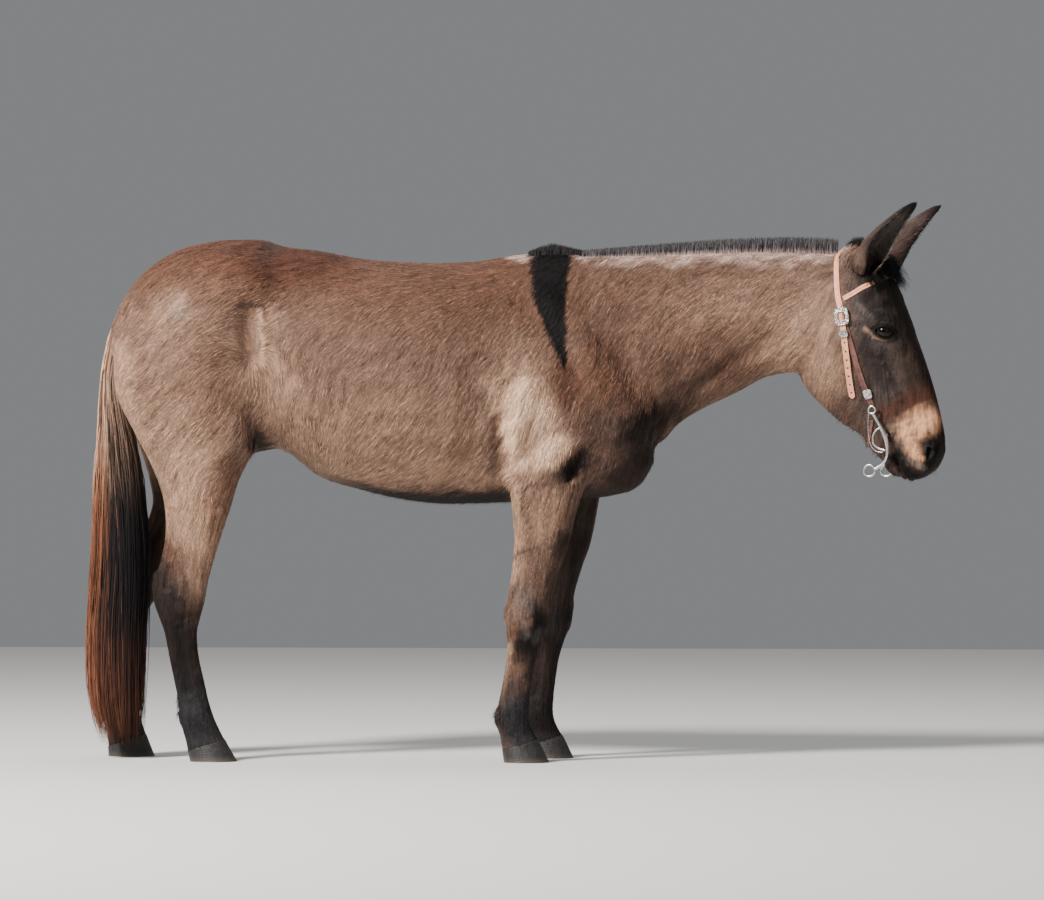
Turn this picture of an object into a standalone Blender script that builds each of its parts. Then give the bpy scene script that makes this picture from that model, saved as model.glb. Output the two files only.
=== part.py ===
"""A saddle mule standing square in its bridle, at life size.

Metres, +Z up. The mule faces +X, its left side is +Y, and it stands on the plane z = 0.
The origin is on that plane, under the middle of the mule's box.
The flesh is lofted through named sections and joined into one smooth form.
Thin flat cuts then part it into head, neck, torso and legs.
"""

import math
import random

import bmesh
import bpy
import numpy as np
from mathutils import Matrix, Vector
from mathutils.bvhtree import BVHTree

# Driving dimensions
PART_GAP = 0.0003
POLL = Vector((0.941, -0.010, 1.444))
HEAD_TURN = math.radians(20)
RING_SIDES = 28
LOFT_STEP = 0.03
VOXEL = 0.008
BODY_TRIANGLES = 2900
HEAD_TRIANGLES = 1800
HAIR_SEED = 7

COAT_BROWN = (0.235, 0.135, 0.080)
LEG_BROWN = (0.070, 0.042, 0.030)
FACE_BROWN = (0.110, 0.066, 0.045)
HORN_BLACK = (0.020, 0.017, 0.016)
EYE_BLACK = (0.012, 0.008, 0.006)
HAIR_BLACK = (0.022, 0.018, 0.018)
TAIL_AUBURN = (0.085, 0.036, 0.018)
LEATHER_TAN = (0.420, 0.175, 0.090)
STEEL = (0.600, 0.600, 0.610)


def finish(name, colour, roughness=0.7, metallic=0.0):
    """One plain material."""
    made = bpy.data.materials.new(name)
    made.use_nodes = True
    shader = made.node_tree.nodes["Principled BSDF"]
    shader.inputs["Base Color"].default_value = (*colour, 1.0)
    shader.inputs["Roughness"].default_value = roughness
    shader.inputs["Metallic"].default_value = metallic
    return made


def new_object(name, bm, collection, material=None):
    """An object that holds this bmesh, in flat triangles so that later cuts stay exact."""
    bmesh.ops.triangulate(bm, faces=bm.faces)
    mesh = bpy.data.meshes.new(name)
    bm.to_mesh(mesh)
    bm.free()
    made = bpy.data.objects.new(name, mesh)
    collection.objects.link(made)
    if material:
        mesh.materials.append(material)
    return made


def apply_modifiers(obj):
    """Bakes the object's modifiers into its mesh."""
    bpy.context.view_layer.update()
    graph = bpy.context.evaluated_depsgraph_get()
    mesh = bpy.data.meshes.new_from_object(obj.evaluated_get(graph))
    obj.modifiers.clear()
    obj.data = mesh
    return obj


def catmull(a, b, c, d, t):
    """A smooth value between b and c."""
    return 0.5 * (2 * b + (c - a) * t + (2 * a - 5 * b + 4 * c - d) * t**2 + (3 * b - a - 3 * c + d) * t**3)


def smoothed(rows, step=LOFT_STEP):
    """Rows of numbers, filled in along a smooth curve through them."""
    rows = [tuple(map(float, row)) for row in rows]
    ends = [rows[0]] + rows + [rows[-1]]
    filled = []
    for i in range(1, len(ends) - 2):
        a, b, c, d = ends[i - 1 : i + 3]
        reach = max(math.dist(b[0:2], c[0:2]), math.dist(b[2:4], c[2:4]))
        count = max(1, round(reach / step))
        for k in range(count):
            filled.append(tuple(catmull(*four, k / count) for four in zip(a, b, c, d)))
    filled.append(rows[-1])
    return filled


def section_point(section, angle, side_axis=Vector((0, 1, 0))):
    """A point of one section. It runs from its front or top edge to its back or bottom edge."""
    fx, fz, bx, bz, half_width, middle, widest, front_power, back_power = section
    front, back = Vector((fx, 0, fz)), Vector((bx, 0, bz))
    belt = front.lerp(back, widest)
    up, out = math.sin(angle), math.cos(angle)
    power = front_power if up >= 0 else back_power
    edge = front if up >= 0 else back
    along = belt.lerp(edge, abs(up) ** (2 / power))
    return along + side_axis * (middle + math.copysign(half_width * abs(out) ** (2 / power), out))


def loft(bm, sections, sides=RING_SIDES, step=LOFT_STEP):
    """A closed skin through the sections."""
    rings = []
    for section in smoothed(sections, step):
        ring = [bm.verts.new(section_point(section, 2 * math.pi * k / sides)) for k in range(sides)]
        rings.append(ring)
    for one, two in zip(rings, rings[1:]):
        for k in range(sides):
            n = (k + 1) % sides
            bm.faces.new((one[k], one[n], two[n], two[k]))
    bm.faces.new(rings[0])
    bm.faces.new(rings[-1])


# Torso: x, back, belly, half width, depth of the widest point, roundness above and below
TORSO = (
    (-1.172, 1.262, 1.185, 0.060, 0.50, 2.0, 2.0),
    (-1.135, 1.343, 1.058, 0.135, 0.42, 2.1, 2.0),
    (-1.069, 1.424, 0.971, 0.196, 0.40, 2.1, 2.0),
    (-0.982, 1.479, 0.913, 0.236, 0.38, 2.1, 2.0),
    (-0.880, 1.509, 0.880, 0.266, 0.36, 2.2, 2.1),
    (-0.793, 1.512, 0.880, 0.268, 0.36, 2.2, 2.1),
    (-0.721, 1.509, 0.896, 0.262, 0.40, 2.2, 2.1),
    (-0.663, 1.491, 0.893, 0.255, 0.46, 2.1, 2.1),
    (-0.561, 1.479, 0.820, 0.272, 0.50, 2.1, 2.1),
    (-0.445, 1.457, 0.783, 0.292, 0.52, 2.1, 2.1),
    (-0.329, 1.447, 0.757, 0.300, 0.52, 2.1, 2.1),
    (-0.213, 1.444, 0.743, 0.292, 0.53, 2.0, 2.1),
    (-0.097, 1.450, 0.744, 0.270, 0.55, 1.8, 2.1),
    (0.004, 1.466, 0.748, 0.240, 0.57, 1.6, 2.0),
    (0.106, 1.474, 0.752, 0.218, 0.60, 1.5, 2.0),
    (0.207, 1.468, 0.757, 0.205, 0.62, 1.5, 2.0),
    (0.294, 1.400, 0.766, 0.190, 0.62, 1.6, 2.0),
    (0.367, 1.200, 0.797, 0.165, 0.55, 1.8, 2.0),
    (0.405, 1.040, 0.862, 0.100, 0.50, 2.0, 2.0),
)

# Neck: crest x, z, throat x, z, half width, sideways bend, depth of the widest point,
# roundness above and below
NECK = (
    (0.091, 1.462, 0.265, 0.800, 0.190, 0.000, 0.62, 1.6, 2.0),
    (0.193, 1.466, 0.400, 0.886, 0.168, 0.000, 0.62, 1.6, 2.0),
    (0.309, 1.469, 0.478, 0.970, 0.138, 0.000, 0.62, 1.6, 2.0),
    (0.425, 1.472, 0.553, 1.018, 0.112, 0.000, 0.60, 1.6, 2.0),
    (0.541, 1.476, 0.642, 1.060, 0.094, -0.001, 0.58, 1.7, 2.0),
    (0.657, 1.478, 0.729, 1.106, 0.082, -0.003, 0.56, 1.8, 2.0),
    (0.773, 1.478, 0.802, 1.120, 0.076, -0.006, 0.54, 1.9, 2.0),
    (0.874, 1.474, 0.880, 1.122, 0.076, -0.012, 0.50, 2.0, 2.0),
    (0.961, 1.464, 0.950, 1.130, 0.070, -0.022, 0.46, 2.1, 2.0),
)

# Head, from the poll in the head's own plane: forehead u, w, jaw u, w, half width, depth of the widest point,
# roundness in front and behind. u is forward and w is up.
HEAD = (
    (0.062, 0.046, -0.020, -0.010, 0.054, 0.50, 2.2, 2.0),
    (0.118, 0.014, -0.042, -0.100, 0.080, 0.42, 2.2, 2.0),
    (0.162, -0.046, -0.090, -0.195, 0.092, 0.36, 2.4, 2.1),
    (0.187, -0.101, -0.115, -0.262, 0.097, 0.32, 2.6, 2.2),
    (0.210, -0.162, -0.119, -0.325, 0.096, 0.30, 2.6, 2.3),
    (0.239, -0.229, -0.090, -0.376, 0.084, 0.34, 2.5, 2.3),
    (0.262, -0.284, -0.048, -0.418, 0.072, 0.38, 2.4, 2.2),
    (0.286, -0.348, 0.006, -0.464, 0.059, 0.42, 2.2, 2.1),
    (0.305, -0.409, 0.058, -0.502, 0.050, 0.45, 2.1, 2.0),
    (0.318, -0.464, 0.098, -0.540, 0.047, 0.46, 2.2, 2.0),
    (0.325, -0.514, 0.136, -0.577, 0.049, 0.42, 2.4, 2.0),
    (0.319, -0.558, 0.167, -0.608, 0.048, 0.40, 2.4, 2.0),
    (0.295, -0.602, 0.204, -0.628, 0.038, 0.45, 2.2, 2.0),
    (0.268, -0.622, 0.228, -0.633, 0.018, 0.50, 2.0, 2.0),
)

# Leg sections, from the body down: front x, back x, height, half width, sideways place
FORELEG = (
    (0.268, -0.016, 0.928, 0.082, 0.118),
    (0.235, -0.010, 0.841, 0.078, 0.128),
    (0.204, 0.000, 0.754, 0.069, 0.130),
    (0.187, 0.007, 0.696, 0.061, 0.131),
    (0.173, 0.010, 0.638, 0.053, 0.131),
    (0.144, 0.003, 0.551, 0.044, 0.130),
    (0.122, -0.009, 0.478, 0.041, 0.128),
    (0.114, -0.014, 0.429, 0.045, 0.127),
    (0.106, -0.013, 0.383, 0.044, 0.126),
    (0.088, -0.010, 0.333, 0.037, 0.125),
    (0.075, -0.014, 0.290, 0.029, 0.124),
    (0.065, -0.024, 0.232, 0.027, 0.123),
    (0.058, -0.034, 0.180, 0.029, 0.122),
    (0.055, -0.043, 0.139, 0.036, 0.121),
    (0.060, -0.043, 0.108, 0.036, 0.120),
    (0.074, -0.032, 0.078, 0.034, 0.120),
    (0.088, -0.027, 0.052, 0.041, 0.120),
    (0.112, -0.019, 0.000, 0.052, 0.120),
    (0.120, -0.016, -0.020, 0.055, 0.120),
)
HIND_LEG = (
    (-0.770, -1.070, 1.334, 0.080, 0.130),
    (-0.735, -1.140, 1.204, 0.110, 0.134),
    (-0.735, -1.144, 1.073, 0.116, 0.142),
    (-0.738, -1.092, 0.957, 0.104, 0.140),
    (-0.748, -1.054, 0.884, 0.090, 0.138),
    (-0.782, -1.022, 0.812, 0.075, 0.136),
    (-0.805, -1.002, 0.739, 0.063, 0.134),
    (-0.834, -1.000, 0.652, 0.051, 0.132),
    (-0.856, -1.014, 0.580, 0.042, 0.131),
    (-0.872, -1.032, 0.522, 0.038, 0.130),
    (-0.881, -1.036, 0.470, 0.040, 0.130),
    (-0.894, -1.020, 0.420, 0.038, 0.130),
    (-0.905, -1.003, 0.371, 0.032, 0.130),
    (-0.900, -0.990, 0.304, 0.027, 0.130),
    (-0.884, -0.975, 0.232, 0.026, 0.130),
    (-0.871, -0.963, 0.174, 0.028, 0.130),
    (-0.858, -0.957, 0.132, 0.035, 0.130),
    (-0.844, -0.953, 0.100, 0.035, 0.130),
    (-0.829, -0.944, 0.070, 0.034, 0.130),
    (-0.816, -0.938, 0.046, 0.040, 0.130),
    (-0.790, -0.927, 0.000, 0.050, 0.130),
    (-0.781, -0.924, -0.020, 0.053, 0.130),
)
# How far each foot of the left side stands from the right one, by height
LEFT_FORE_STEP = ((0.93, 0.020), (0.70, 0.046), (0.38, 0.050), (0.0, 0.056))
LEFT_HIND_STEP = (
    (1.20, 0.0), (0.957, -0.040), (0.739, -0.072), (0.58, -0.135),
    (0.42, -0.195), (0.20, -0.240), (0.0, -0.275),
)

# Strokes that raise or sink the flesh on both sides: from, to, reach, height
BODY_STROKES = (
    ((0.10, 0.10, 1.36), (0.30, 0.18, 1.06), 0.070, 0.012),
    ((0.24, 0.14, 1.34), (0.40, 0.15, 1.06), 0.060, -0.009),
    ((0.375, 0.14, 1.00), (0.330, 0.16, 0.96), 0.090, 0.018),
    ((0.080, 0.21, 1.10), (0.030, 0.20, 0.94), 0.130, 0.022),
    ((-0.090, 0.25, 1.12), (-0.100, 0.22, 0.88), 0.070, -0.010),
    ((-0.005, 0.17, 0.87), (0.000, 0.15, 0.83), 0.050, 0.012),
    ((0.405, 0.06, 0.98), (0.330, 0.07, 0.81), 0.070, 0.012),
    ((0.420, 0.00, 0.99), (0.360, 0.00, 0.80), 0.035, -0.009),
    ((-0.730, 0.26, 1.26), (-0.670, 0.26, 1.10), 0.110, -0.013),
    ((-0.700, 0.17, 0.93), (-0.620, 0.24, 1.06), 0.050, 0.008),
    ((-0.730, 0.23, 1.390), (-0.745, 0.25, 1.345), 0.100, 0.013),
    ((-0.970, 0.22, 1.26), (-0.900, 0.22, 1.05), 0.160, 0.018),
    ((-1.050, 0.20, 1.30), (-1.045, 0.17, 0.98), 0.040, -0.008),
    ((-1.130, 0.10, 1.25), (-1.130, 0.09, 1.22), 0.065, 0.010),
    ((-0.770, 0.17, 0.96), (-0.770, 0.17, 0.92), 0.075, 0.016),
    ((-0.870, 0.18, 0.86), (-0.930, 0.16, 0.72), 0.070, 0.007),
    ((0.760, 0.07, 1.22), (0.440, 0.12, 1.03), 0.040, -0.007),
    ((0.700, 0.08, 1.30), (0.380, 0.14, 1.14), 0.060, 0.005),
)
# The same for the legs, which follow each leg's own step
FORE_STROKES = (
    ((0.170, 0.17, 0.80), (0.135, 0.16, 0.62), 0.060, 0.006),
    ((0.108, 0.128, 0.440), (0.104, 0.127, 0.395), 0.040, 0.005),
    ((-0.016, 0.127, 0.445), (-0.012, 0.127, 0.420), 0.022, 0.007),
    ((0.024, 0.155, 0.340), (0.002, 0.150, 0.190), 0.020, -0.006),
    ((0.024, 0.095, 0.340), (0.002, 0.090, 0.190), 0.020, -0.006),
    ((-0.042, 0.121, 0.145), (-0.042, 0.121, 0.125), 0.025, 0.005),
)
HIND_STROKES = (
    ((-0.968, 0.170, 0.72), (-0.990, 0.155, 0.60), 0.028, -0.010),
    ((-0.968, 0.095, 0.72), (-0.990, 0.105, 0.60), 0.028, -0.010),
    ((-1.032, 0.130, 0.535), (-1.034, 0.130, 0.515), 0.030, 0.006),
    ((-0.935, 0.168, 0.510), (-0.950, 0.168, 0.440), 0.035, 0.005),
    ((-0.955, 0.160, 0.380), (-0.930, 0.158, 0.200), 0.022, -0.006),
    ((-0.955, 0.100, 0.380), (-0.930, 0.102, 0.200), 0.022, -0.006),
    ((-0.955, 0.130, 0.135), (-0.955, 0.130, 0.120), 0.025, 0.005),
)
# The same for the head, in its own frame
HEAD_STROKES = (
    ((0.155, 0.095, -0.180), (0.214, 0.088, -0.172), 0.042, 0.018),
    ((0.150, 0.090, -0.248), (0.206, 0.076, -0.252), 0.040, 0.010),
    ((0.130, 0.085, -0.120), (0.140, 0.085, -0.140), 0.034, -0.009),
    ((0.150, 0.090, -0.262), (0.205, 0.062, -0.400), 0.024, 0.006),
    ((-0.030, 0.085, -0.210), (0.020, 0.078, -0.340), 0.090, 0.010),
    ((0.130, 0.070, -0.340), (0.130, 0.060, -0.420), 0.050, -0.006),
    ((-0.080, 0.000, -0.330), (0.080, 0.000, -0.500), 0.032, -0.012),
    ((0.245, 0.050, -0.320), (0.280, 0.045, -0.460), 0.030, -0.003),
    ((0.305, 0.042, -0.545), (0.285, 0.040, -0.585), 0.034, 0.007),
    ((0.160, 0.000, -0.598), (0.170, 0.000, -0.604), 0.036, 0.009),
    ((0.212, 0.000, -0.150), (0.212, 0.000, -0.180), 0.060, 0.005),
    ((0.085, 0.070, 0.000), (0.110, 0.075, -0.030), 0.050, 0.016),
    ((0.035, 0.000, 0.040), (0.070, 0.000, 0.050), 0.065, 0.018),
    ((0.120, 0.075, -0.070), (0.150, 0.070, -0.110), 0.045, 0.010),
)
# Places where the forms are worked smooth into each other: x, y, z, radius
SOFT_SPOTS = (
    (0.13, 0.16, 0.80, 0.20), (0.28, 0.10, 0.86, 0.22), (0.30, 0.00, 1.20, 0.42), (0.10, 0.18, 1.15, 0.30),
    (-0.78, 0.18, 0.93, 0.22), (-0.95, 0.15, 1.20, 0.42), (-0.98, 0.05, 0.92, 0.20),
    (-0.70, 0.20, 1.35, 0.20), (0.88, 0.00, 1.30, 0.24), (0.93, 0.00, 1.44, 0.20),
)

# Where the flesh is parted: a point on each flat cut and its direction
HEAD_CUT = (Vector((0.864, 0, 1.295)), Vector((0.96, -0.15, -0.215)))
NECK_CUT = (Vector((0.295, 0, 1.20)), Vector((0.912, 0, 0.410)))
FORE_CUT_HEIGHT = 0.742
HIND_CUT_HEIGHT = 0.872
HIND_CUT_FRONT = -0.700
CORONET_SLOPE = 0.30
FORE_CORONET = (0.030, 0.052)
HIND_CORONET = (-0.876, 0.048)

# Eye: the ball's middle, the way it looks, its size, and the lids drawn over it
EYE_PLACE = (0.178, 0.0765, -0.207)
EYE_LOOKS = Vector((0.36, 0.92, 0.02)).normalized()
EYE_RADIUS = 0.0255
LID_WALL = 0.0028
LID_BLEND = 0.018
LID_REACH = 0.065
LID_OPENING = (0.0245, 0.0150)
LID_SIDES = 16
LID_TILT = -0.12
MOUTH_LINE = ((0.170, -0.498), (0.181, -0.535), (0.190, -0.572), (0.204, -0.606), (0.222, -0.645))
MOUTH_GAP = 0.0016
NOSTRIL = ((0.310, 0.043, -0.562), (0.011, 0.014, 0.024))
NOSTRIL_TURN = 35
NOSTRIL_LEAN = 24


def head_way(u, v, w):
    """A direction of the head's own frame: u forward, v to the mule's left, w up."""
    return Matrix.Rotation(-HEAD_TURN, 3, "Z") @ Vector((u, v, w))


def head_place(u, v, w):
    """A point of the head's own frame, from the poll."""
    return POLL + head_way(u, v, w)


def step_at(table, height):
    """The forward step of a left leg at this height."""
    for (high, far), (low, near) in zip(table, table[1:]):
        if height >= low:
            t = min(1.0, max(0.0, (height - low) / (high - low)))
            return near + (far - near) * t
    return table[-1][1]


def leg_rows(table, steps, side):
    """Leg sections on one side. Side is 1 on the left and -1 on the right."""
    rows = []
    for front, back, height, half_width, out in table:
        shift = step_at(steps, height) if side > 0 else 0.0
        rows.append((front + shift, height, back + shift, height, half_width, side * out, 0.5, 2.2, 2.2))
    return rows


def flesh_forms(bm):
    """Torso, neck, head and legs as overlapping closed forms."""
    loft(bm, [(x, top, x, low, half, 0.0, widest, *round_) for x, top, low, half, widest, *round_ in TORSO])
    loft(bm, NECK)
    for side in (-1, 1):
        loft(bm, leg_rows(FORELEG, LEFT_FORE_STEP, side))
        loft(bm, leg_rows(HIND_LEG, LEFT_HIND_STEP, side))
    before = len(bm.verts)
    loft(bm, [(fu, fw, bu, bw, half, 0.0, *shape) for fu, fw, bu, bw, half, *shape in HEAD], step=0.02)
    bm.verts.ensure_lookup_table()
    for vert in bm.verts[before:]:
        vert.co = head_place(*vert.co)


def points_of(mesh, source="vertices", field="co"):
    """The mesh's points or normals as rows of three."""
    values = np.empty(3 * len(mesh.vertices))
    getattr(mesh, source).foreach_get(field, values)
    return values.reshape(-1, 3)


def press(mesh, start, end, reach, height):
    """Moves the skin out by height near the line from start to end, less and less out to its reach."""
    points = points_of(mesh)
    start, end = np.array(start, dtype=float), np.array(end, dtype=float)
    line = end - start
    t = np.clip((points - start) @ line / max(line @ line, 1e-12), 0, 1)
    gap = np.linalg.norm(points - (start + t[:, None] * line), axis=1) / reach
    near = gap < 1
    if near.any():
        normals = points_of(mesh, "vertex_normals", "vector")
        points[near] += normals[near] * (height * (1 - gap[near] ** 2) ** 2)[:, None]
        mesh.vertices.foreach_set("co", points.ravel())
        mesh.update()


def stepped(point, steps, side):
    """A place on a leg of this side, moved with the leg's own step."""
    x, y, z = point
    return x + (step_at(steps, z) if side > 0 else 0.0), side * y, z


def shape_flesh(mesh):
    """All the strokes, on both sides."""
    for side in (-1, 1):
        for start, end, reach, height in BODY_STROKES:
            if side > 0 and start[1] == 0:
                continue
            near = (start[0], side * start[1], start[2])
            far = (end[0], side * end[1], end[2])
            press(mesh, near, far, reach, height)
        for table, steps in ((FORE_STROKES, LEFT_FORE_STEP), (HIND_STROKES, LEFT_HIND_STEP)):
            for start, end, reach, height in table:
                press(mesh, stepped(start, steps, side), stepped(end, steps, side), reach, height)
        for start, end, reach, height in HEAD_STROKES:
            if side > 0 and start[1] == 0:
                continue
            near = head_place(start[0], side * start[1], start[2])
            far = head_place(end[0], side * end[1], end[2])
            press(mesh, near, far, reach, height)


def soften(obj, spots, rounds):
    """Works the named round places smooth, and the whole skin lightly."""
    group = obj.vertex_groups.new(name="soft")
    points = points_of(obj.data)
    points[:, 1] = np.abs(points[:, 1])
    weight = np.zeros(len(points))
    for x, y, z, radius in spots:
        gap = np.linalg.norm(points - np.array((x, y, z)), axis=1) / radius
        weight = np.maximum(weight, np.clip(1.6 * (1 - gap**2), 0, 1))
    for index in np.flatnonzero(weight > 0.01):
        group.add((int(index),), float(weight[index]), "REPLACE")
    soft = obj.modifiers.new("soft", "SMOOTH")
    soft.vertex_group = group.name
    soft.factor = 0.6
    soft.iterations = rounds
    light = obj.modifiers.new("light", "SMOOTH")
    light.factor = 0.5
    light.iterations = 2
    apply_modifiers(obj)
    obj.vertex_groups.clear()


def thin_out(obj, free, triangles):
    """Leaves about this many triangles among the free points. The rest of the skin stays as it is."""
    mesh = obj.data
    mesh.calc_loop_triangles()
    kept = sum(1 for tri in mesh.loop_triangles if not any(free[v] for v in tri.vertices))
    total = len(mesh.loop_triangles)
    group = obj.vertex_groups.new(name="free")
    group.add([int(i) for i in np.flatnonzero(free)], 1.0, "REPLACE")
    fewer = obj.modifiers.new("fewer", "DECIMATE")
    fewer.vertex_group = group.name
    fewer.ratio = (kept + triangles) / total
    apply_modifiers(obj)
    obj.vertex_groups.clear()


def whole_flesh(collection):
    """The mule's flesh as one closed smooth skin, finer on the head."""
    bm = bmesh.new()
    flesh_forms(bm)
    bmesh.ops.recalc_face_normals(bm, faces=bm.faces)
    made = new_object("whole_flesh", bm, collection)
    remesh = made.modifiers.new("remesh", "REMESH")
    remesh.mode = "VOXEL"
    remesh.voxel_size = VOXEL
    apply_modifiers(made)
    soften(made, SOFT_SPOTS, 14)
    shape_flesh(made.data)
    drape_lids(made.data)
    for of_head, triangles in ((False, BODY_TRIANGLES), (True, HEAD_TRIANGLES)):
        points = points_of(made.data)
        ahead = (points - np.array(HEAD_CUT[0])) @ np.array(HEAD_CUT[1].normalized())
        thin_out(made, ahead > -0.02 if of_head else ahead <= 0.02, triangles)
    return made


def block(name, lowest, highest, collection, turn=None, centre=None):
    """A box between two corners, turned about a centre where one is given."""
    bm = bmesh.new()
    size = Vector(highest) - Vector(lowest)
    middle = (Vector(highest) + Vector(lowest)) / 2
    bmesh.ops.create_cube(bm, size=1, matrix=Matrix.Translation(middle) @ Matrix.Diagonal((*size, 1)))
    if turn:
        bmesh.ops.rotate(bm, verts=bm.verts, cent=centre, matrix=turn)
    return new_object(name, bm, collection)


def boolean(obj, operation, other, solver="EXACT"):
    """Cuts with, keeps the inside of, or joins another object or a collection of them."""
    modifier = obj.modifiers.new("boolean", "BOOLEAN")
    modifier.operation = operation
    modifier.solver = solver
    if isinstance(other, bpy.types.Collection):
        modifier.operand_type = "COLLECTION"
        modifier.collection = other
    else:
        modifier.object = other
    return apply_modifiers(obj)


def keep_largest(obj):
    """Leaves only the largest closed surface of the mesh."""
    bm = bmesh.new()
    bm.from_mesh(obj.data)
    left, shells = set(bm.faces), []
    while left:
        start = left.pop()
        shell, queue = {start}, [start]
        while queue:
            for edge in queue.pop().edges:
                for face in edge.link_faces:
                    if face in left:
                        left.discard(face)
                        shell.add(face)
                        queue.append(face)
        shells.append(shell)
    biggest = max(shells, key=lambda shell: sum(face.calc_area() for face in shell))
    spare = [face for shell in shells if shell is not biggest for face in shell]
    if spare:
        bmesh.ops.delete(bm, geom=spare, context="FACES")
    bm.to_mesh(obj.data)
    bm.free()
    return obj


def joined(name, pieces, collection, material, solver="EXACT"):
    """One closed body made of all the pieces. The pieces are removed."""
    first, rest = pieces[0], pieces[1:]
    others = bpy.data.collections.new("others")
    bpy.context.scene.collection.children.link(others)
    for piece in rest:
        for home in list(piece.users_collection):
            home.objects.unlink(piece)
        others.objects.link(piece)
    boolean(first, "UNION", others, solver)
    for piece in rest:
        bpy.data.objects.remove(piece)
    bpy.data.collections.remove(others)
    keep_largest(first)
    return settle(first, name, collection, material)


def settle(obj, name, collection, material):
    """Names a finished body and gives it its one material."""
    obj.name = name
    obj.data.name = name
    obj.data.materials.clear()
    obj.data.materials.append(material)
    obj.data.shade_smooth()
    obj.data.set_sharp_from_angle(angle=math.radians(40))
    for home in list(obj.users_collection):
        home.objects.unlink(obj)
    collection.objects.link(obj)
    return obj


def copy_of(obj, name, collection, swell=0.0):
    """A copy of the object, with every face moved out by at least the swell."""
    bm = bmesh.new()
    bm.from_mesh(obj.data)
    bm.normal_update()
    moves = []
    for vert in bm.verts:
        slant = min(vert.normal.dot(face.normal) for face in vert.link_faces)
        moves.append(vert.normal * swell / max(slant, 0.35))
    for vert, move in zip(bm.verts, moves):
        vert.co += move
    return new_object(name, bm, collection)


def half_space(point, direction, collection, back=0.0):
    """A large box that holds everything ahead of a flat cut. Its near face stands back from the cut."""
    bm = bmesh.new()
    bmesh.ops.create_cube(bm, size=6, matrix=Matrix.Translation((0, 0, 3 + back)))
    turn = Vector(direction).to_track_quat("Z", "Y").to_matrix().to_4x4()
    bm.transform(Matrix.Translation(point) @ turn)
    return new_object("half_space", bm, collection)


def part_of(whole, name, tools, collection, cutters, material):
    """A copy of the whole, worked with each tool in turn. The tools are removed."""
    made = copy_of(whole, name, cutters)
    for operation, tool in tools:
        boolean(made, operation, tool)
        bpy.data.objects.remove(tool)
    keep_largest(made)
    return settle(made, name, collection, material)


def coronet_plane(place, side, steps, way):
    """The flat cut above one hoof. Way is 1 for the leg above it and -1 for the hoof below it."""
    x, z = place
    shift = step_at(steps, z) if side > 0 else 0.0
    return Vector((x + shift, 0, z)), Vector((-CORONET_SLOPE, 0, 1)) * way


def make_flesh(whole, mule, cutters, coat, leg_coat, horn):
    """Head, neck, torso, legs and hooves, parted from the whole with thin flat cuts."""
    half_gap = PART_GAP / 2
    point, ahead = NECK_CUT
    behind_head = ("INTERSECT", half_space(HEAD_CUT[0], -HEAD_CUT[1], cutters, half_gap))
    before_base = ("INTERSECT", half_space(point, ahead, cutters, half_gap))
    part_of(whole, "neck", (behind_head, before_base), mule, cutters, coat)
    behind_base = ("INTERSECT", half_space(point, -ahead, cutters, half_gap))
    chest_room = (-0.40, -0.5, -0.5), (0.60, 0.5, FORE_CUT_HEIGHT + half_gap)
    rump_room = (-1.60, -0.5, -0.5), (HIND_CUT_FRONT, 0.5, HIND_CUT_HEIGHT + half_gap)
    under_chest = block("under_chest", *chest_room, cutters)
    under_rump = block("under_rump", *rump_room, cutters)
    tools = (behind_base, ("DIFFERENCE", under_rump), ("DIFFERENCE", under_chest))
    part_of(whole, "torso", tools, mule, cutters, coat)
    for end, height, low, high, steps, coronet in (
        ("fore", FORE_CUT_HEIGHT, -0.40, 0.60, LEFT_FORE_STEP, FORE_CORONET),
        ("hind", HIND_CUT_HEIGHT, -1.60, HIND_CUT_FRONT - PART_GAP, LEFT_HIND_STEP, HIND_CORONET),
    ):
        for side, word in ((-1, "right"), (1, "left")):
            inner, outer = sorted((0.0, side * 0.5))
            upright = block("leg_room", (low, inner, -0.5), (high, outer, height - half_gap), cutters)
            above = half_space(*coronet_plane(coronet, side, steps, 1), cutters, half_gap)
            tools = (("INTERSECT", upright), ("INTERSECT", above))
            part_of(whole, f"{end}leg_{word}", tools, mule, cutters, leg_coat)
            ground = block("ground_room", (low, inner, 0.0), (high, outer, height), cutters)
            below = half_space(*coronet_plane(coronet, side, steps, -1), cutters, half_gap)
            tools = (("INTERSECT", ground), ("INTERSECT", below))
            part_of(whole, f"{end}_hoof_{word}", tools, mule, cutters, horn)


def outline_prism(outline, start, end):
    """A closed prism that joins one outline in two planes. Start and end turn its flat points into places."""
    bm = bmesh.new()
    first = [bm.verts.new(start(*point)) for point in outline]
    last = [bm.verts.new(end(*point)) for point in outline]
    for k in range(len(outline)):
        n = (k + 1) % len(outline)
        bm.faces.new((first[k], first[n], last[n], last[k]))
    bm.faces.new(first)
    bm.faces.new(last)
    bmesh.ops.recalc_face_normals(bm, faces=bm.faces)
    return bm


def ball(name, centre, radius, collection):
    """A round ball."""
    bm = bmesh.new()
    bmesh.ops.create_icosphere(bm, subdivisions=2, radius=radius, matrix=Matrix.Translation(centre))
    return new_object(name, bm, collection)


def eye_axes(side):
    """The way one eye looks, and the two directions across it, forward and up."""
    looks = head_way(EYE_LOOKS.x, side * EYE_LOOKS.y, EYE_LOOKS.z)
    forward = head_way(1, 0, 0)
    forward = (forward - looks * forward.dot(looks)).normalized()
    up = head_way(0, 0, 1)
    return looks, forward, (up - looks * up.dot(looks) - forward * up.dot(forward)).normalized()


def eye_centre(side):
    """The middle of one eyeball."""
    u, v, w = EYE_PLACE
    return head_place(u, side * v, w)


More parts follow.
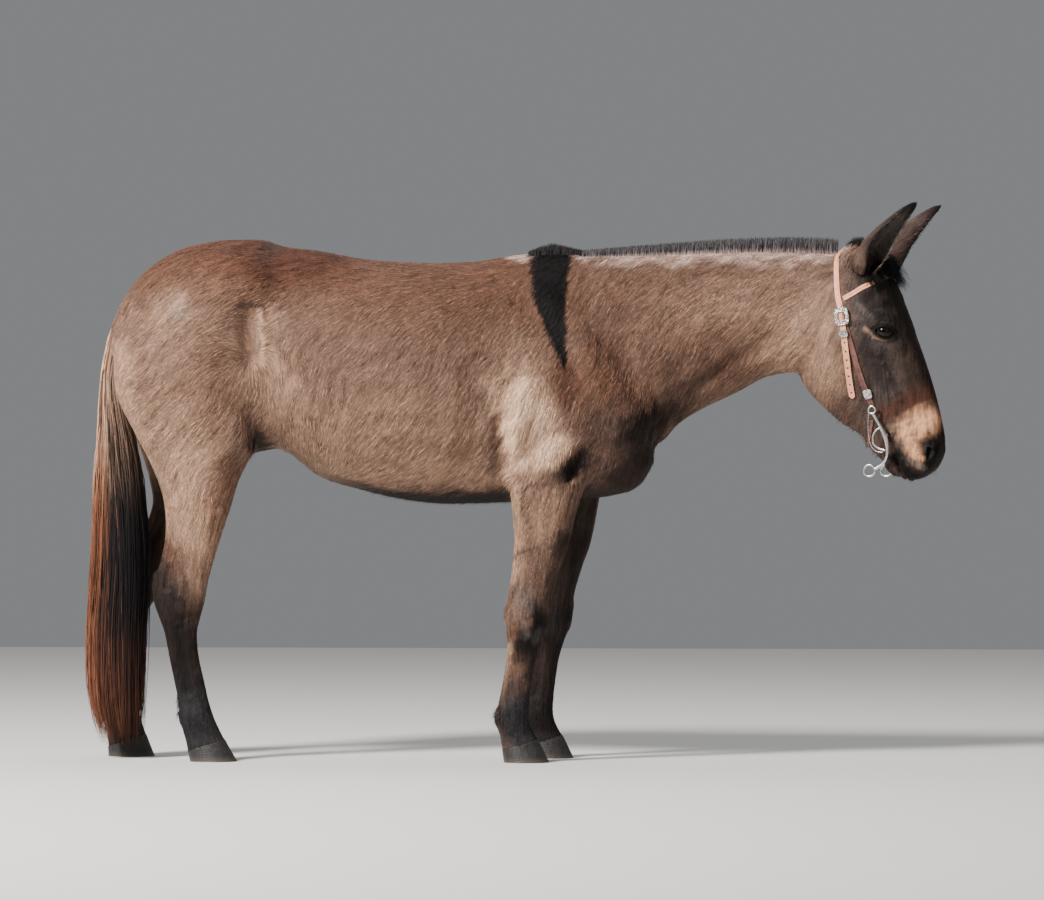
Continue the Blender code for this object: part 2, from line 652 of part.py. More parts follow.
def drape_lids(mesh):
    """Draws the skin over both eyeballs, blended into the cheek and brow."""
    points = points_of(mesh)
    skin = EYE_RADIUS + LID_WALL
    for side in (-1, 1):
        centre = np.array(eye_centre(side))
        away = points - centre
        far = np.linalg.norm(away, axis=1)
        near = far < LID_REACH
        gap = far[near]
        fade = (1 - (gap / LID_REACH) ** 2) ** 2
        blend = LID_BLEND * fade
        raised = 0.5 * (gap + skin + np.sqrt((gap - skin) ** 2 + blend**2))
        points[near] = centre + away[near] * (np.maximum(raised, gap) / gap)[:, None]
    mesh.vertices.foreach_set("co", points.ravel())
    mesh.update()


def lid_cutter(centre, side, collection):
    """An almond prism that opens the lids in front of one eyeball."""
    looks, forward, up = eye_axes(side)
    half_length, half_height = LID_OPENING
    outline = []
    for k in range(LID_SIDES):
        angle = 2 * math.pi * k / LID_SIDES
        along = half_length * math.cos(angle)
        across = half_height * math.copysign(abs(math.sin(angle)) ** 1.3, math.sin(angle))
        outline.append((along, across + LID_TILT * along))

    def at(depth, spread):
        return lambda a, b: centre + looks * depth + (forward * a + up * b) * spread

    return new_object("lid_cutter", outline_prism(outline, at(0.004, 0.85), at(0.05, 1.5)), collection)


def mouth_cutter(collection):
    """A thin curved sheet that parts the lips."""
    upper, lower = [], []
    for i, (u, w) in enumerate(MOUTH_LINE):
        before, after = MOUTH_LINE[max(0, i - 1)], MOUTH_LINE[min(len(MOUTH_LINE) - 1, i + 1)]
        half = MOUTH_GAP / 2 / math.dist(before, after)
        across = ((after[1] - before[1]) * half, (before[0] - after[0]) * half)
        upper.append((u + across[0], w + across[1]))
        lower.append((u - across[0], w - across[1]))
    outline = upper + lower[::-1]
    start, end = (lambda a, b: head_place(a, -0.09, b)), (lambda a, b: head_place(a, 0.09, b))
    return new_object("mouth_cutter", outline_prism(outline, start, end), collection)


def nostril_cutter(side, collection):
    """A slanting oval that hollows one nostril."""
    (u, v, w), radii = NOSTRIL
    bm = bmesh.new()
    turn = Matrix.Rotation(math.radians(side * NOSTRIL_TURN), 4, "Z")
    turn = turn @ Matrix.Rotation(math.radians(-NOSTRIL_LEAN), 4, "Y")
    bmesh.ops.create_icosphere(bm, subdivisions=2, radius=1, matrix=turn @ Matrix.Diagonal((*radii, 1)))
    for vert in bm.verts:
        vert.co = head_place(*(vert.co + Vector((u, side * v, w))))
    return new_object("nostril_cutter", bm, collection)


def make_head(whole, mule, cutters, face, dark):
    """The head with its mouth, nostrils and lids, and the two eyeballs in their sockets."""
    tools = [("INTERSECT", half_space(*HEAD_CUT, cutters, PART_GAP / 2))]
    tools.append(("DIFFERENCE", mouth_cutter(cutters)))
    ends = [bit_place(*BIT_BAR, v) for v in (-0.10, 0.10)]
    tools.append(("DIFFERENCE", bar("bar_room", ends, BIT_BAR_RADIUS + PART_GAP, cutters)))
    for side in (-1, 1):
        centre = eye_centre(side)
        tools.append(("DIFFERENCE", nostril_cutter(side, cutters)))
        tools.append(("DIFFERENCE", ball("socket", centre, EYE_RADIUS + PART_GAP, cutters)))
        tools.append(("DIFFERENCE", lid_cutter(centre, side, cutters)))
    part_of(whole, "head", tools, mule, cutters, face)
    for side, word in ((-1, "right"), (1, "left")):
        settle(ball("eye", eye_centre(side), EYE_RADIUS, cutters), f"eye_{word}", mule, dark)


def bar(name, points, radius, collection, ring=False):
    """A round bar along the points, closed into a ring or with flat ends."""
    curve = bpy.data.curves.new(name, "CURVE")
    curve.dimensions = "3D"
    curve.bevel_depth = radius
    curve.bevel_resolution = 1
    curve.use_fill_caps = True
    spline = curve.splines.new("POLY")
    spline.points.add(len(points) - 1)
    for target, point in zip(spline.points, points):
        target.co = (*point, 1)
    spline.use_cyclic_u = ring
    drawn = bpy.data.objects.new(name, curve)
    collection.objects.link(drawn)
    bpy.context.view_layer.update()
    mesh = bpy.data.meshes.new_from_object(drawn.evaluated_get(bpy.context.evaluated_depsgraph_get()))
    bpy.data.objects.remove(drawn)
    bm = bmesh.new()
    bm.from_mesh(mesh)
    bpy.data.meshes.remove(mesh)
    bmesh.ops.remove_doubles(bm, verts=bm.verts, dist=0.00001)
    bmesh.ops.recalc_face_normals(bm, faces=bm.faces)
    return new_object(name, bm, collection)


# Ear, along its length: radius, half angle of the cup's wall in degrees
EAR_ROWS = (
    (0.00, 0.038, 165), (0.10, 0.043, 158), (0.20, 0.045, 142), (0.32, 0.044, 124), (0.45, 0.039, 112),
    (0.60, 0.031, 104), (0.75, 0.022, 97), (0.88, 0.013, 90), (0.96, 0.0070, 85), (1.00, 0.0035, 80),
)
EAR_BASE = Vector((0.098, 0.066, -0.032))
EAR_TIP = Vector((0.276, 0.104, 0.158))
EAR_BOW = Vector((-0.010, 0.004, 0.006))
EAR_OPENS = Vector((0.42, 0.80, -0.40))


def make_ear(side, name, skin, mule, cutters, material):
    """One ear: an open tapered cup with a real wall, standing on the skin."""
    bm = bmesh.new()
    steps = 8
    outer, inner = [], []
    for i, (t, radius, half_angle) in enumerate(EAR_ROWS):
        centre = EAR_BASE.lerp(EAR_TIP, t) + EAR_BOW * 4 * t * (1 - t)
        tangent = (EAR_TIP - EAR_BASE + EAR_BOW * 4 * (1 - 2 * t)).normalized()
        opening = (EAR_OPENS - tangent * EAR_OPENS.dot(tangent)).normalized()
        across = tangent.cross(opening)
        wall = 0.0045 - 0.0025 * t
        for rows, reach in ((outer, radius), (inner, radius - min(wall, 0.55 * radius))):
            row = []
            for k in range(steps + 1):
                angle = math.radians(half_angle) * (2 * k / steps - 1)
                place = centre - opening * reach * math.cos(angle) + across * reach * 0.92 * math.sin(angle)
                row.append(bm.verts.new(head_place(place.x, side * place.y, place.z)))
            rows.append(row)
    for rows in (outer, inner):
        for one, two in zip(rows, rows[1:]):
            for k in range(steps):
                bm.faces.new((one[k], one[k + 1], two[k + 1], two[k]))
    for k in (0, steps):
        for i in range(len(outer) - 1):
            bm.faces.new((outer[i][k], outer[i + 1][k], inner[i + 1][k], inner[i][k]))
    for row in (0, -1):
        for k in range(steps):
            bm.faces.new((outer[row][k], outer[row][k + 1], inner[row][k + 1], inner[row][k]))
    bmesh.ops.recalc_face_normals(bm, faces=bm.faces)
    made = new_object(name, bm, cutters)
    boolean(made, "DIFFERENCE", skin)
    keep_largest(made)
    settle(made, name, mule, material)


def lock(points, width, depth, faces_to, collection, belly=0.35):
    """A flat lock of hair along the points, widest at its belly. Its flat side faces the given direction."""
    bm = bmesh.new()
    rings = []
    count = len(points)
    for i, point in enumerate(points[:-1]):
        t = i / (count - 1)
        swell = 0.55 + 0.45 * math.sin(math.pi * t / (2 * belly)) if t < belly else (1 - t) / (1 - belly)
        swell = max(0.16, swell**0.75)
        after = points[i + 1]
        before = points[i - 1] if i else point
        tangent = (after - before).normalized()
        flat = (faces_to - tangent * faces_to.dot(tangent)).normalized()
        side = tangent.cross(flat)
        half, thick = width * swell / 2, depth * max(0.45, swell) / 2
        corners = (point + side * half, point + flat * thick, point - side * half, point - flat * thick)
        rings.append([bm.verts.new(corner) for corner in corners])
    tip = bm.verts.new(points[-1])
    for one, two in zip(rings, rings[1:]):
        for k in range(4):
            bm.faces.new((one[k], one[(k + 1) % 4], two[(k + 1) % 4], two[k]))
    for k in range(4):
        bm.faces.new((rings[-1][k], rings[-1][(k + 1) % 4], tip))
    bm.faces.new(rings[0])
    bmesh.ops.recalc_face_normals(bm, faces=bm.faces)
    return new_object("lock", bm, collection)


def value_at(table, key):
    """A value read off a table of (key, value, ...) rows, joined by straight lines."""
    for one, two in zip(table, table[1:]):
        if key <= two[0]:
            t = max(0.0, (key - one[0]) / (two[0] - one[0]))
            return tuple(a + (b - a) * t for a, b in zip(one[1:], two[1:]))
    return tuple(table[-1][1:])


# Mane, along the neck: height of the hair
MANE_HEIGHT = (
    (0.030, 0.008), (0.060, 0.020), (0.110, 0.033), (0.160, 0.020), (0.200, 0.014), (0.320, 0.022),
    (0.450, 0.029), (0.600, 0.036), (0.800, 0.042), (0.925, 0.046),
)
MANE_ENDS = (0.045, 0.936)


def crest_at(x):
    """The middle of the crest or withers at this place."""
    rows = [(row[0], row[1], row[5]) for row in NECK]
    if x < rows[0][0]:
        rows = [(-0.097, 1.450, 0.0), (0.004, 1.464, 0.0)] + rows
    height, bend = value_at(rows, x)
    return Vector((x, bend, height))


def make_mane(skin, mule, cutters, material):
    """The short clipped mane: upright locks in three rows on a low ridge."""
    chance = random.Random(HAIR_SEED)
    start, end = MANE_ENDS
    bm = bmesh.new()
    stations = 26
    rings = []
    for i in range(stations + 1):
        x = start + 0.012 + (end - start - 0.024) * i / stations
        root = crest_at(x)
        rise = 0.45 * value_at(MANE_HEIGHT, x)[0]
        sides = ((-0.017, -0.022), (0.017, -0.022), (0.011, rise), (-0.011, rise))
        rings.append([bm.verts.new(root + Vector((0, y, z))) for y, z in sides])
    for one, two in zip(rings, rings[1:]):
        for k in range(4):
            bm.faces.new((one[k], one[(k + 1) % 4], two[(k + 1) % 4], two[k]))
    bm.faces.new(rings[0])
    bm.faces.new(rings[-1])
    bmesh.ops.recalc_face_normals(bm, faces=bm.faces)
    pieces = [new_object("mane_core", bm, cutters)]
    count = 27
    for row, across in enumerate((-0.0095, 0.0, 0.0095)):
        for i in range(count):
            x = start + 0.008 + (end - start - 0.016) * (i + 0.33 * row + chance.uniform(-0.12, 0.12)) / count
            if x > end - 0.006:
                continue
            root = crest_at(x) + Vector((0, across, -0.013))
            height = value_at(MANE_HEIGHT, x)[0] * chance.uniform(0.86, 1.04) * (1.0 if row == 1 else 0.92)
            lean = Vector((chance.uniform(-0.05, 0.16), across * 18 + chance.uniform(-0.1, 0.1), 1))
            path = [root + lean * (height + 0.013) * t for t in (0, 0.4, 0.78, 1.0)]
            pieces.append(lock(path, chance.uniform(0.030, 0.037), 0.010, Vector((0, 1, 0)), cutters, 0.7))
    made = joined("mane", pieces, cutters, material)
    boolean(made, "DIFFERENCE", skin)
    keep_largest(made)
    settle(made, "mane", mule, material)


# Tail, downward from its root: minus height, rear x, front x, half width
TAIL = (
    (-1.310, -1.130, -1.085, 0.024), (-1.265, -1.176, -1.124, 0.029),
    (-1.204, -1.192, -1.138, 0.033), (-1.116, -1.208, -1.147, 0.038), (-1.044, -1.214, -1.130, 0.044),
    (-0.957, -1.219, -1.106, 0.050), (-0.870, -1.225, -1.086, 0.056), (-0.754, -1.231, -1.069, 0.061),
    (-0.638, -1.237, -1.060, 0.064), (-0.522, -1.243, -1.057, 0.066), (-0.406, -1.251, -1.063, 0.066),
    (-0.290, -1.254, -1.069, 0.065), (-0.174, -1.248, -1.072, 0.060), (-0.087, -1.231, -1.074, 0.052),
    (-0.023, -1.202, -1.083, 0.040),
)
TAIL_CORE_END = 0.72


def tail_place(height, along, across):
    """A place in the tail. Along runs from rear to front and across from right to left, each -1 to 1."""
    rear, front, half = value_at(TAIL, -height)
    return Vector(((rear + front) / 2 + along * (front - rear) / 2, across * half, height))


def make_tail(skin, mule, cutters, material):
    """The tail: long flat locks in three tiers over a core that ends half way down."""
    chance = random.Random(HAIR_SEED + 1)
    rows = []
    for minus_height, rear, front, half in TAIL:
        if -minus_height < TAIL_CORE_END:
            break
        narrow = 0.80 if minus_height > -1.2 else 0.92
        middle, reach = (rear + front) / 2, narrow * (front - rear) / 2
        ends = (middle + reach, -minus_height, middle - reach, -minus_height)
        rows.append((*ends, narrow * half, 0.0, 0.5, 2.0, 2.0))
    middle = (rows[-1][0] + rows[-1][2]) / 2
    low = TAIL_CORE_END - 0.05
    rows.append((middle + 0.020, low, middle - 0.020, low, 0.016, 0.0, 0.5, 2.0, 2.0))
    bm = bmesh.new()
    loft(bm, rows, sides=12, step=0.09)
    bmesh.ops.recalc_face_normals(bm, faces=bm.faces)
    pieces = [new_object("tail_core", bm, cutters)]
    for high, low, tips, count, segments in (
        (1.20, 1.05, (0.50, 0.85), 8, 5),
        (1.02, 0.86, (0.18, 0.45), 9, 5),
        (0.84, 0.74, (0.024, 0.11), 12, 5),
    ):
        for i in range(count):
            turn = 2 * math.pi * (i + chance.uniform(-0.2, 0.2)) / count
            top = chance.uniform(low, high)
            end = chance.uniform(*tips)
            drift = chance.uniform(-0.35, 0.35)
            sway = chance.uniform(-0.10, 0.10)
            phase = chance.uniform(0, 2 * math.pi)
            path = []
            for k in range(segments + 1):
                t = k / segments
                reach = 0.48 + 0.44 * min(1.0, t / 0.20) - 0.08 * t
                angle = turn + drift * t
                along = reach * math.cos(angle) + sway * math.sin(phase + 4 * t)
                path.append(tail_place(top + (end - top) * t, along, reach * math.sin(angle)))
            outward = Vector((math.cos(turn), 0.8 * math.sin(turn), 0))
            width = chance.uniform(0.044, 0.060) * (1.0 if top < 1.05 else 0.75)
            pieces.append(lock(path, width, 0.015, outward, cutters, 0.45))
    made = joined("tail", pieces, cutters, material)
    boolean(made, "DIFFERENCE", skin)
    keep_largest(made)
    settle(made, "tail", mule, material)


# Bridle, in the head's own frame. Points are on the right side and mirrored for the left.
BAND_WALL = 0.003
CROWN_PATH = (
    (0.014, 0.000, 0.045, 0.0), (0.016, -0.055, 0.005, 0.0),
    (0.024, -0.080, -0.055, 0.0), (0.032, -0.088, -0.105, 0.0),
    (0.041, -0.092, -0.132, 0.0005), (0.047, -0.094, -0.150, 0.0040), (0.051, -0.094, -0.180, 0.0042),
    (0.054, -0.094, -0.210, 0.0042), (0.059, -0.088, -0.270, 0.0040), (0.063, -0.084, -0.320, 0.0034),
    (0.066, -0.080, -0.365, 0.0010), (0.068, -0.074, -0.402, 0.0010),
)
CHEEK_PATH = (
    (0.052, -0.094, -0.156, 0.0), (0.058, -0.094, -0.180, 0.0), (0.072, -0.088, -0.235, 0.0),
    (0.085, -0.080, -0.290, 0.0), (0.100, -0.072, -0.350, 0.0), (0.112, -0.066, -0.385, 0.0),
    (0.119, -0.062, -0.408, 0.0), (0.123, -0.060, -0.420, 0.0),
)
BROW_PATH = (
    (0.0505, -0.092, -0.111, 0.0), (0.077, -0.090, -0.098, 0.0), (0.105, -0.086, -0.082, 0.0),
    (0.130, -0.072, -0.070, 0.0), (0.150, -0.045, -0.055, 0.0), (0.160, 0.000, -0.046, 0.0),
)
CURB_PATH = (
    (0.121, -0.060, -0.462, 0.0), (0.108, -0.052, -0.500, 0.0),
    (0.098, -0.030, -0.528, 0.0), (0.096, 0.000, -0.532, 0.0),
)
# Metal fittings on the cheek straps: place, half size across and down, half size of a hole,
# height off the skin
FITTINGS = (
    ("buckle", (0.050, -0.095, -0.163), (0.022, 0.026), (0.012, 0.014), 0.0085),
    ("keeper", (0.054, -0.095, -0.212), (0.013, 0.011), None, 0.0085),
    ("ferrule", (0.114, -0.066, -0.385), (0.012, 0.014), None, 0.0048),
)
FITTING_WALL = 0.0027
FITTING_SIDES = 16
BIT_BAR = (0.168, -0.503)
BIT_BAR_RADIUS = 0.006
BIT_SIDE = 0.070
SHANK = (
    (0.133, -0.440), (0.145, -0.460), (0.158, -0.483), (0.168, -0.503), (0.174, -0.525), (0.176, -0.545),
    (0.173, -0.566), (0.163, -0.583), (0.148, -0.594), (0.137, -0.600),
)
SHANK_LOOP = (
    (0.158, -0.480), (0.142, -0.488), (0.132, -0.506), (0.135, -0.528), (0.150, -0.540), (0.170, -0.546),
)


def bit_place(u, w, v):
    """A place on the bit, with its sideways place last."""
    return head_place(u, v, w)


def band(name, path, width, tree, skin, mule, cutters, material, whole_loop=True):
    """A flat strap along the path, bent to lie on the skin. A whole loop goes on over the other side."""
    path = list(path)
    if whole_loop:
        mirrored = [(u, -v, w, lift) for u, v, w, lift in path[::-1]]
        path = mirrored[:-1] + path if path[0][1] == 0 else path[:-1] + mirrored
    ends = [path[0]] + path + [path[-1]]
    fine = []
    for i in range(1, len(ends) - 2):
        steps = max(1, round(math.dist(ends[i][:3], ends[i + 1][:3]) / 0.022))
        for k in range(steps):
            fine.append([catmull(*four, k / steps) for four in zip(*ends[i - 1 : i + 3])])
    fine.append(list(path[-1]))
    places, normals = [], []
    for u, v, w, lift in fine:
        place, normal = tree.find_nearest(head_place(u, v, w))[:2]
        places.append(place)
        normals.append(normal)
    for _ in range(4):
        beside = zip([normals[0]] + normals[:-1], normals, normals[1:] + [normals[-1]])
        normals = [(a + b + c).normalized() for a, b, c in beside]
        inner = [(a + 2 * b + c) / 4 for a, b, c in zip(places, places[1:], places[2:])]
        places = [places[0], *inner, places[-1]]
    places = [tree.find_nearest(place)[0] for place in places]
    bm = bmesh.new()
    rings = []
    for i, (place, normal) in enumerate(zip(places, normals)):
        tangent = places[min(len(places) - 1, i + 1)] - places[max(0, i - 1)]
        side = tangent.cross(normal).normalized() * width / 2
        lift = fine[i][3]
        low = lift if lift > 0.0006 else -0.005
        low, top = normal * low, normal * (lift + BAND_WALL + PART_GAP)
        corners = (place - side + low, place + side + low, place + side + top, place - side + top)
        rings.append([bm.verts.new(corner) for corner in corners])
    for one, two in zip(rings, rings[1:]):
        for k in range(4):
            bm.faces.new((one[k], one[(k + 1) % 4], two[(k + 1) % 4], two[k]))
    bm.faces.new(rings[0])
    bm.faces.new(rings[-1])
    bmesh.ops.recalc_face_normals(bm, faces=bm.faces)
    made = new_object(name, bm, cutters)
    boolean(made, "DIFFERENCE", skin)
    keep_largest(made)
    return settle(made, name, mule, material)


def plate(name, place, side, size, hole, height, tree, mule, material):
    """A flat rounded plate held off the skin by height, with a rounded hole where one is given."""
    u, v, w = place
    surface, normal = tree.find_nearest(head_place(u, -side * v, w))[:2]
    down = (head_place(u + 0.25, -side * v, w - 1) - head_place(u, -side * v, w)).normalized()
    down = (down - normal * down.dot(normal)).normalized()
    across = down.cross(normal)
    bm = bmesh.new()
    rims = []
    shapes = [(size, height), (size, height + FITTING_WALL)]
    if hole:
        shapes += [(hole, height + FITTING_WALL), (hole, height)]
    for (half_across, half_down), level in shapes:
        rim = []
        for k in range(FITTING_SIDES):
            angle = 2 * math.pi * (k + 0.5) / FITTING_SIDES
            a = math.copysign(abs(math.cos(angle)) ** 0.5, math.cos(angle)) * half_across
            d = math.copysign(abs(math.sin(angle)) ** 0.5, math.sin(angle)) * half_down
            rim.append(bm.verts.new(surface + normal * level + across * a + down * d))
        rims.append(rim)
    loops = list(zip(rims, rims[1:] + rims[:1])) if hole else [(rims[0], rims[1])]
    for one, two in loops:
        for k in range(FITTING_SIDES):
            n = (k + 1) % FITTING_SIDES
            bm.faces.new((one[k], one[n], two[n], two[k]))
    if not hole:
        bm.faces.new(rims[0])
        bm.faces.new(rims[1])
    bmesh.ops.recalc_face_normals(bm, faces=bm.faces)
    return new_object(name, bm, mule, material)


def ring_points(u, w, v, radius, count=10):
    """Points of an upright ring beside the mouth."""
    turns = [2 * math.pi * k / count for k in range(count)]
    return [bit_place(u + radius * math.cos(a), w + radius * math.sin(a), v) for a in turns]


def make_bit(mule, cutters, material):
    """The bit: a bar through the mouth and a curved shank with two rings on each side."""
    ends = [bit_place(*BIT_BAR, v) for v in (-BIT_SIDE, BIT_SIDE)]
    pieces = [bar("bit_bar", ends, BIT_BAR_RADIUS, cutters)]
    for side in (-1, 1):
        out = side * BIT_SIDE
        pieces.append(bar("shank", [bit_place(u, w, out) for u, w in SHANK], 0.0045, cutters))
        pieces.append(bar("shank_loop", [bit_place(u, w, out) for u, w in SHANK_LOOP], 0.0030, cutters))
        pieces.append(bar("top_ring", ring_points(0.129, -0.430, out, 0.0105), 0.0028, cutters, True))
        pieces.append(bar("rein_ring", ring_points(0.121, -0.604, out, 0.0165), 0.0030, cutters, True))
    joined("bit", pieces, mule, material)


def main():
    for old in list(bpy.data.objects):
        bpy.data.objects.remove(old)
    mule = bpy.data.collections.new("mule")
    cutters = bpy.data.collections.new("cutters")
    for group in (mule, cutters):
        bpy.context.scene.collection.children.link(group)
    coat = finish("coat_brown", COAT_BROWN)
    leg_coat = finish("leg_brown", LEG_BROWN)
    face = finish("face_brown", FACE_BROWN)
    horn = finish("horn_black", HORN_BLACK, 0.5)
    dark = finish("eye_black", EYE_BLACK, 0.1)
    hair = finish("hair_black", HAIR_BLACK)
    auburn = finish("tail_auburn", TAIL_AUBURN)
    leather = finish("leather_tan", LEATHER_TAN, 0.5)
    steel = finish("steel", STEEL, 0.3, 1.0)
    whole = whole_flesh(cutters)
    skin = copy_of(whole, "skin", cutters, PART_GAP)
    tree = BVHTree.FromObject(whole, bpy.context.evaluated_depsgraph_get())
    make_flesh(whole, mule, cutters, coat, leg_coat, horn)
    make_head(whole, mule, cutters, face, dark)
    make_ear(-1, "ear_right", skin, mule, cutters, face)
    make_ear(1, "ear_left", skin, mule, cutters, face)
    make_mane(skin, mule, cutters, hair)
    make_tail(skin, mule, cutters, auburn)
    band("crownpiece", CROWN_PATH, 0.018, tree, skin, mule, cutters, leather)
    band("browband", BROW_PATH, 0.014, tree, skin, mule, cutters, leather)
    band("curb_strap", CURB_PATH, 0.010, tree, skin, mule, cutters, leather)
    for side, word in ((-1, "right"), (1, "left")):
        path = [(u, -side * v, w, lift) for u, v, w, lift in CHEEK_PATH]
        band(f"cheekpiece_{word}", path, 0.016, tree, skin, mule, cutters, leather, False)
        for fitting, place, size, hole, height in FITTINGS:
            plate(f"{fitting}_{word}", place, side, size, hole, height, tree, mule, steel)
    make_bit(mule, cutters, steel)
    for spare in list(cutters.objects):
        bpy.data.objects.remove(spare)
    bpy.data.collections.remove(cutters)


if __name__ == "__main__":
    main()
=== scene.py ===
"""A brown saddle mule that stands square in its leather bridle, at life size."""

import math

import bmesh
import bpy
import numpy as np
from mathutils import Matrix, Vector
from mathutils.bvhtree import BVHTree


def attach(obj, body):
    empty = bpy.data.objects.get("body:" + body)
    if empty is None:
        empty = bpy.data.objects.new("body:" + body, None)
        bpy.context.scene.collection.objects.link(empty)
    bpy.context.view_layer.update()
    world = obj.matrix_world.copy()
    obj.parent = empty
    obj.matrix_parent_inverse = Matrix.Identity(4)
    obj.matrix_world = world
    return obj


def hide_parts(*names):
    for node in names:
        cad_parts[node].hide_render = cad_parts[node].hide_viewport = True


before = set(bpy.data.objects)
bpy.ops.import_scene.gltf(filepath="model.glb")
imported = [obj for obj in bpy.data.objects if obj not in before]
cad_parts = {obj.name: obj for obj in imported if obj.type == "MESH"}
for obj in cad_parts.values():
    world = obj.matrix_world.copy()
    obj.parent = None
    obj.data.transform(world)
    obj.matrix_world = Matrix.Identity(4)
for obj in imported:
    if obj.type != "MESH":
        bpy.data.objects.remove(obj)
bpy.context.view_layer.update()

# The flesh. One closed skin lies over torso, neck, head and legs. It is drawn through
# cross-sections of the body, melted into one form and worked over with strokes that raise
# the muscles and sink the hollows between them.
POLL = Vector((0.941, -0.01, 1.444))
HEAD_TURN = math.radians(20)
SKIN_GRAIN = 0.005


def metres(rows, lengths=None):
    """Rows of numbers whose first ones, or all, are millimetres, turned into metres."""
    return [tuple(value / 1000 for value in row[:lengths]) + row[len(row[:lengths]):] for row in rows]


# Torso: x, back, belly, half width, depth of the widest point, roundness above and below
TORSO = metres((
    (-1172, 1262, 1185, 60, 0.5, 2, 2), (-1135, 1343, 1058, 135, 0.42, 2.1, 2),
    (-1069, 1424, 971, 196, 0.4, 2.1, 2), (-982, 1479, 913, 236, 0.38, 2.1, 2),
    (-880, 1509, 880, 266, 0.36, 2.2, 2.1), (-793, 1512, 880, 268, 0.36, 2.2, 2.1),
    (-721, 1509, 896, 262, 0.4, 2.2, 2.1), (-663, 1491, 893, 255, 0.46, 2.1, 2.1),
    (-561, 1479, 820, 272, 0.5, 2.1, 2.1), (-445, 1457, 783, 292, 0.52, 2.1, 2.1),
    (-329, 1447, 757, 300, 0.52, 2.1, 2.1), (-213, 1444, 743, 292, 0.53, 2, 2.1),
    (-97, 1450, 744, 270, 0.55, 1.8, 2.1), (4, 1466, 748, 240, 0.57, 1.6, 2),
    (106, 1474, 752, 218, 0.6, 1.5, 2), (207, 1468, 757, 205, 0.62, 1.5, 2),
    (294, 1400, 766, 190, 0.62, 1.6, 2), (367, 1200, 797, 165, 0.55, 1.8, 2),
    (405, 1040, 862, 100, 0.5, 2, 2),
), 4)
# Neck: crest x, z, throat x, z, half width, sideways bend, depth of the widest point,
# roundness above and below
NECK = metres((
    (91, 1462, 265, 800, 190, 0, 0.62, 1.6, 2), (193, 1466, 400, 886, 168, 0, 0.62, 1.6, 2),
    (309, 1469, 478, 970, 138, 0, 0.62, 1.6, 2), (425, 1472, 553, 1018, 112, 0, 0.6, 1.6, 2),
    (541, 1476, 642, 1060, 94, -1, 0.58, 1.7, 2), (657, 1478, 729, 1106, 82, -3, 0.56, 1.8, 2),
    (773, 1478, 802, 1120, 76, -6, 0.54, 1.9, 2), (874, 1474, 880, 1122, 76, -12, 0.5, 2, 2),
    (961, 1464, 950, 1130, 70, -22, 0.46, 2.1, 2),
), 6)
# Head, from the poll in the head's own plane: forehead u, w, jaw u, w, half width,
# depth of the widest point, roundness in front and behind. u is forward and w is up.
HEAD = metres((
    (62, 46, -20, -10, 54, 0.5, 2.2, 2), (118, 14, -42, -100, 80, 0.42, 2.2, 2),
    (162, -46, -90, -195, 92, 0.36, 2.4, 2.1), (187, -101, -115, -262, 97, 0.32, 2.6, 2.2),
    (210, -162, -119, -325, 96, 0.3, 2.6, 2.3), (239, -229, -90, -376, 84, 0.34, 2.5, 2.3),
    (262, -284, -48, -418, 72, 0.38, 2.4, 2.2), (286, -348, 6, -464, 59, 0.42, 2.2, 2.1),
    (305, -409, 58, -502, 50, 0.45, 2.1, 2), (318, -464, 98, -540, 47, 0.46, 2.2, 2),
    (325, -514, 136, -577, 49, 0.42, 2.4, 2), (319, -558, 167, -608, 48, 0.4, 2.4, 2),
    (295, -602, 204, -628, 38, 0.45, 2.2, 2), (268, -622, 228, -633, 18, 0.5, 2, 2),
), 5)
# Leg sections, from the body down: front x, back x, height, half width, sideways place
FORELEG = metres((
    (268, -16, 928, 82, 118), (235, -10, 841, 78, 128), (204, 0, 754, 69, 130), (187, 7, 696, 61, 131),
    (173, 10, 638, 53, 131), (144, 3, 551, 44, 130), (122, -9, 478, 41, 128), (114, -14, 429, 45, 127),
    (106, -13, 383, 44, 126), (88, -10, 333, 37, 125), (75, -14, 290, 29, 124), (65, -24, 232, 27, 123),
    (58, -34, 180, 29, 122), (55, -43, 139, 36, 121), (60, -43, 108, 36, 120), (74, -32, 78, 34, 120),
    (88, -27, 52, 41, 120), (112, -19, 0, 52, 120), (120, -16, -20, 55, 120),
))
HIND_LEG = metres((
    (-770, -1070, 1334, 80, 130), (-735, -1140, 1204, 110, 134), (-735, -1144, 1073, 116, 142),
    (-738, -1092, 957, 104, 140), (-748, -1054, 884, 90, 138), (-782, -1022, 812, 75, 136),
    (-805, -1002, 739, 63, 134), (-834, -1000, 652, 51, 132), (-856, -1014, 580, 42, 131),
    (-872, -1032, 522, 38, 130), (-881, -1036, 470, 40, 130), (-894, -1020, 420, 38, 130),
    (-905, -1003, 371, 32, 130), (-900, -990, 304, 27, 130), (-884, -975, 232, 26, 130),
    (-871, -963, 174, 28, 130), (-858, -957, 132, 35, 130), (-844, -953, 100, 35, 130),
    (-829, -944, 70, 34, 130), (-816, -938, 46, 40, 130), (-790, -927, 0, 50, 130),
    (-781, -924, -20, 53, 130),
))
# A leg's depth of the widest point and its roundness in front and behind
LEG_ROUNDNESS = (0.5, 2.2, 2.2)
# How far each foot of the left side stands from the right one, by height
LEFT_FORE_STEP = metres((
    (930, 20), (700, 46), (380, 50), (0, 56),
))
LEFT_HIND_STEP = metres((
    (1200, 0), (957, -40), (739, -72), (580, -135), (420, -195), (200, -240), (0, -275),
))

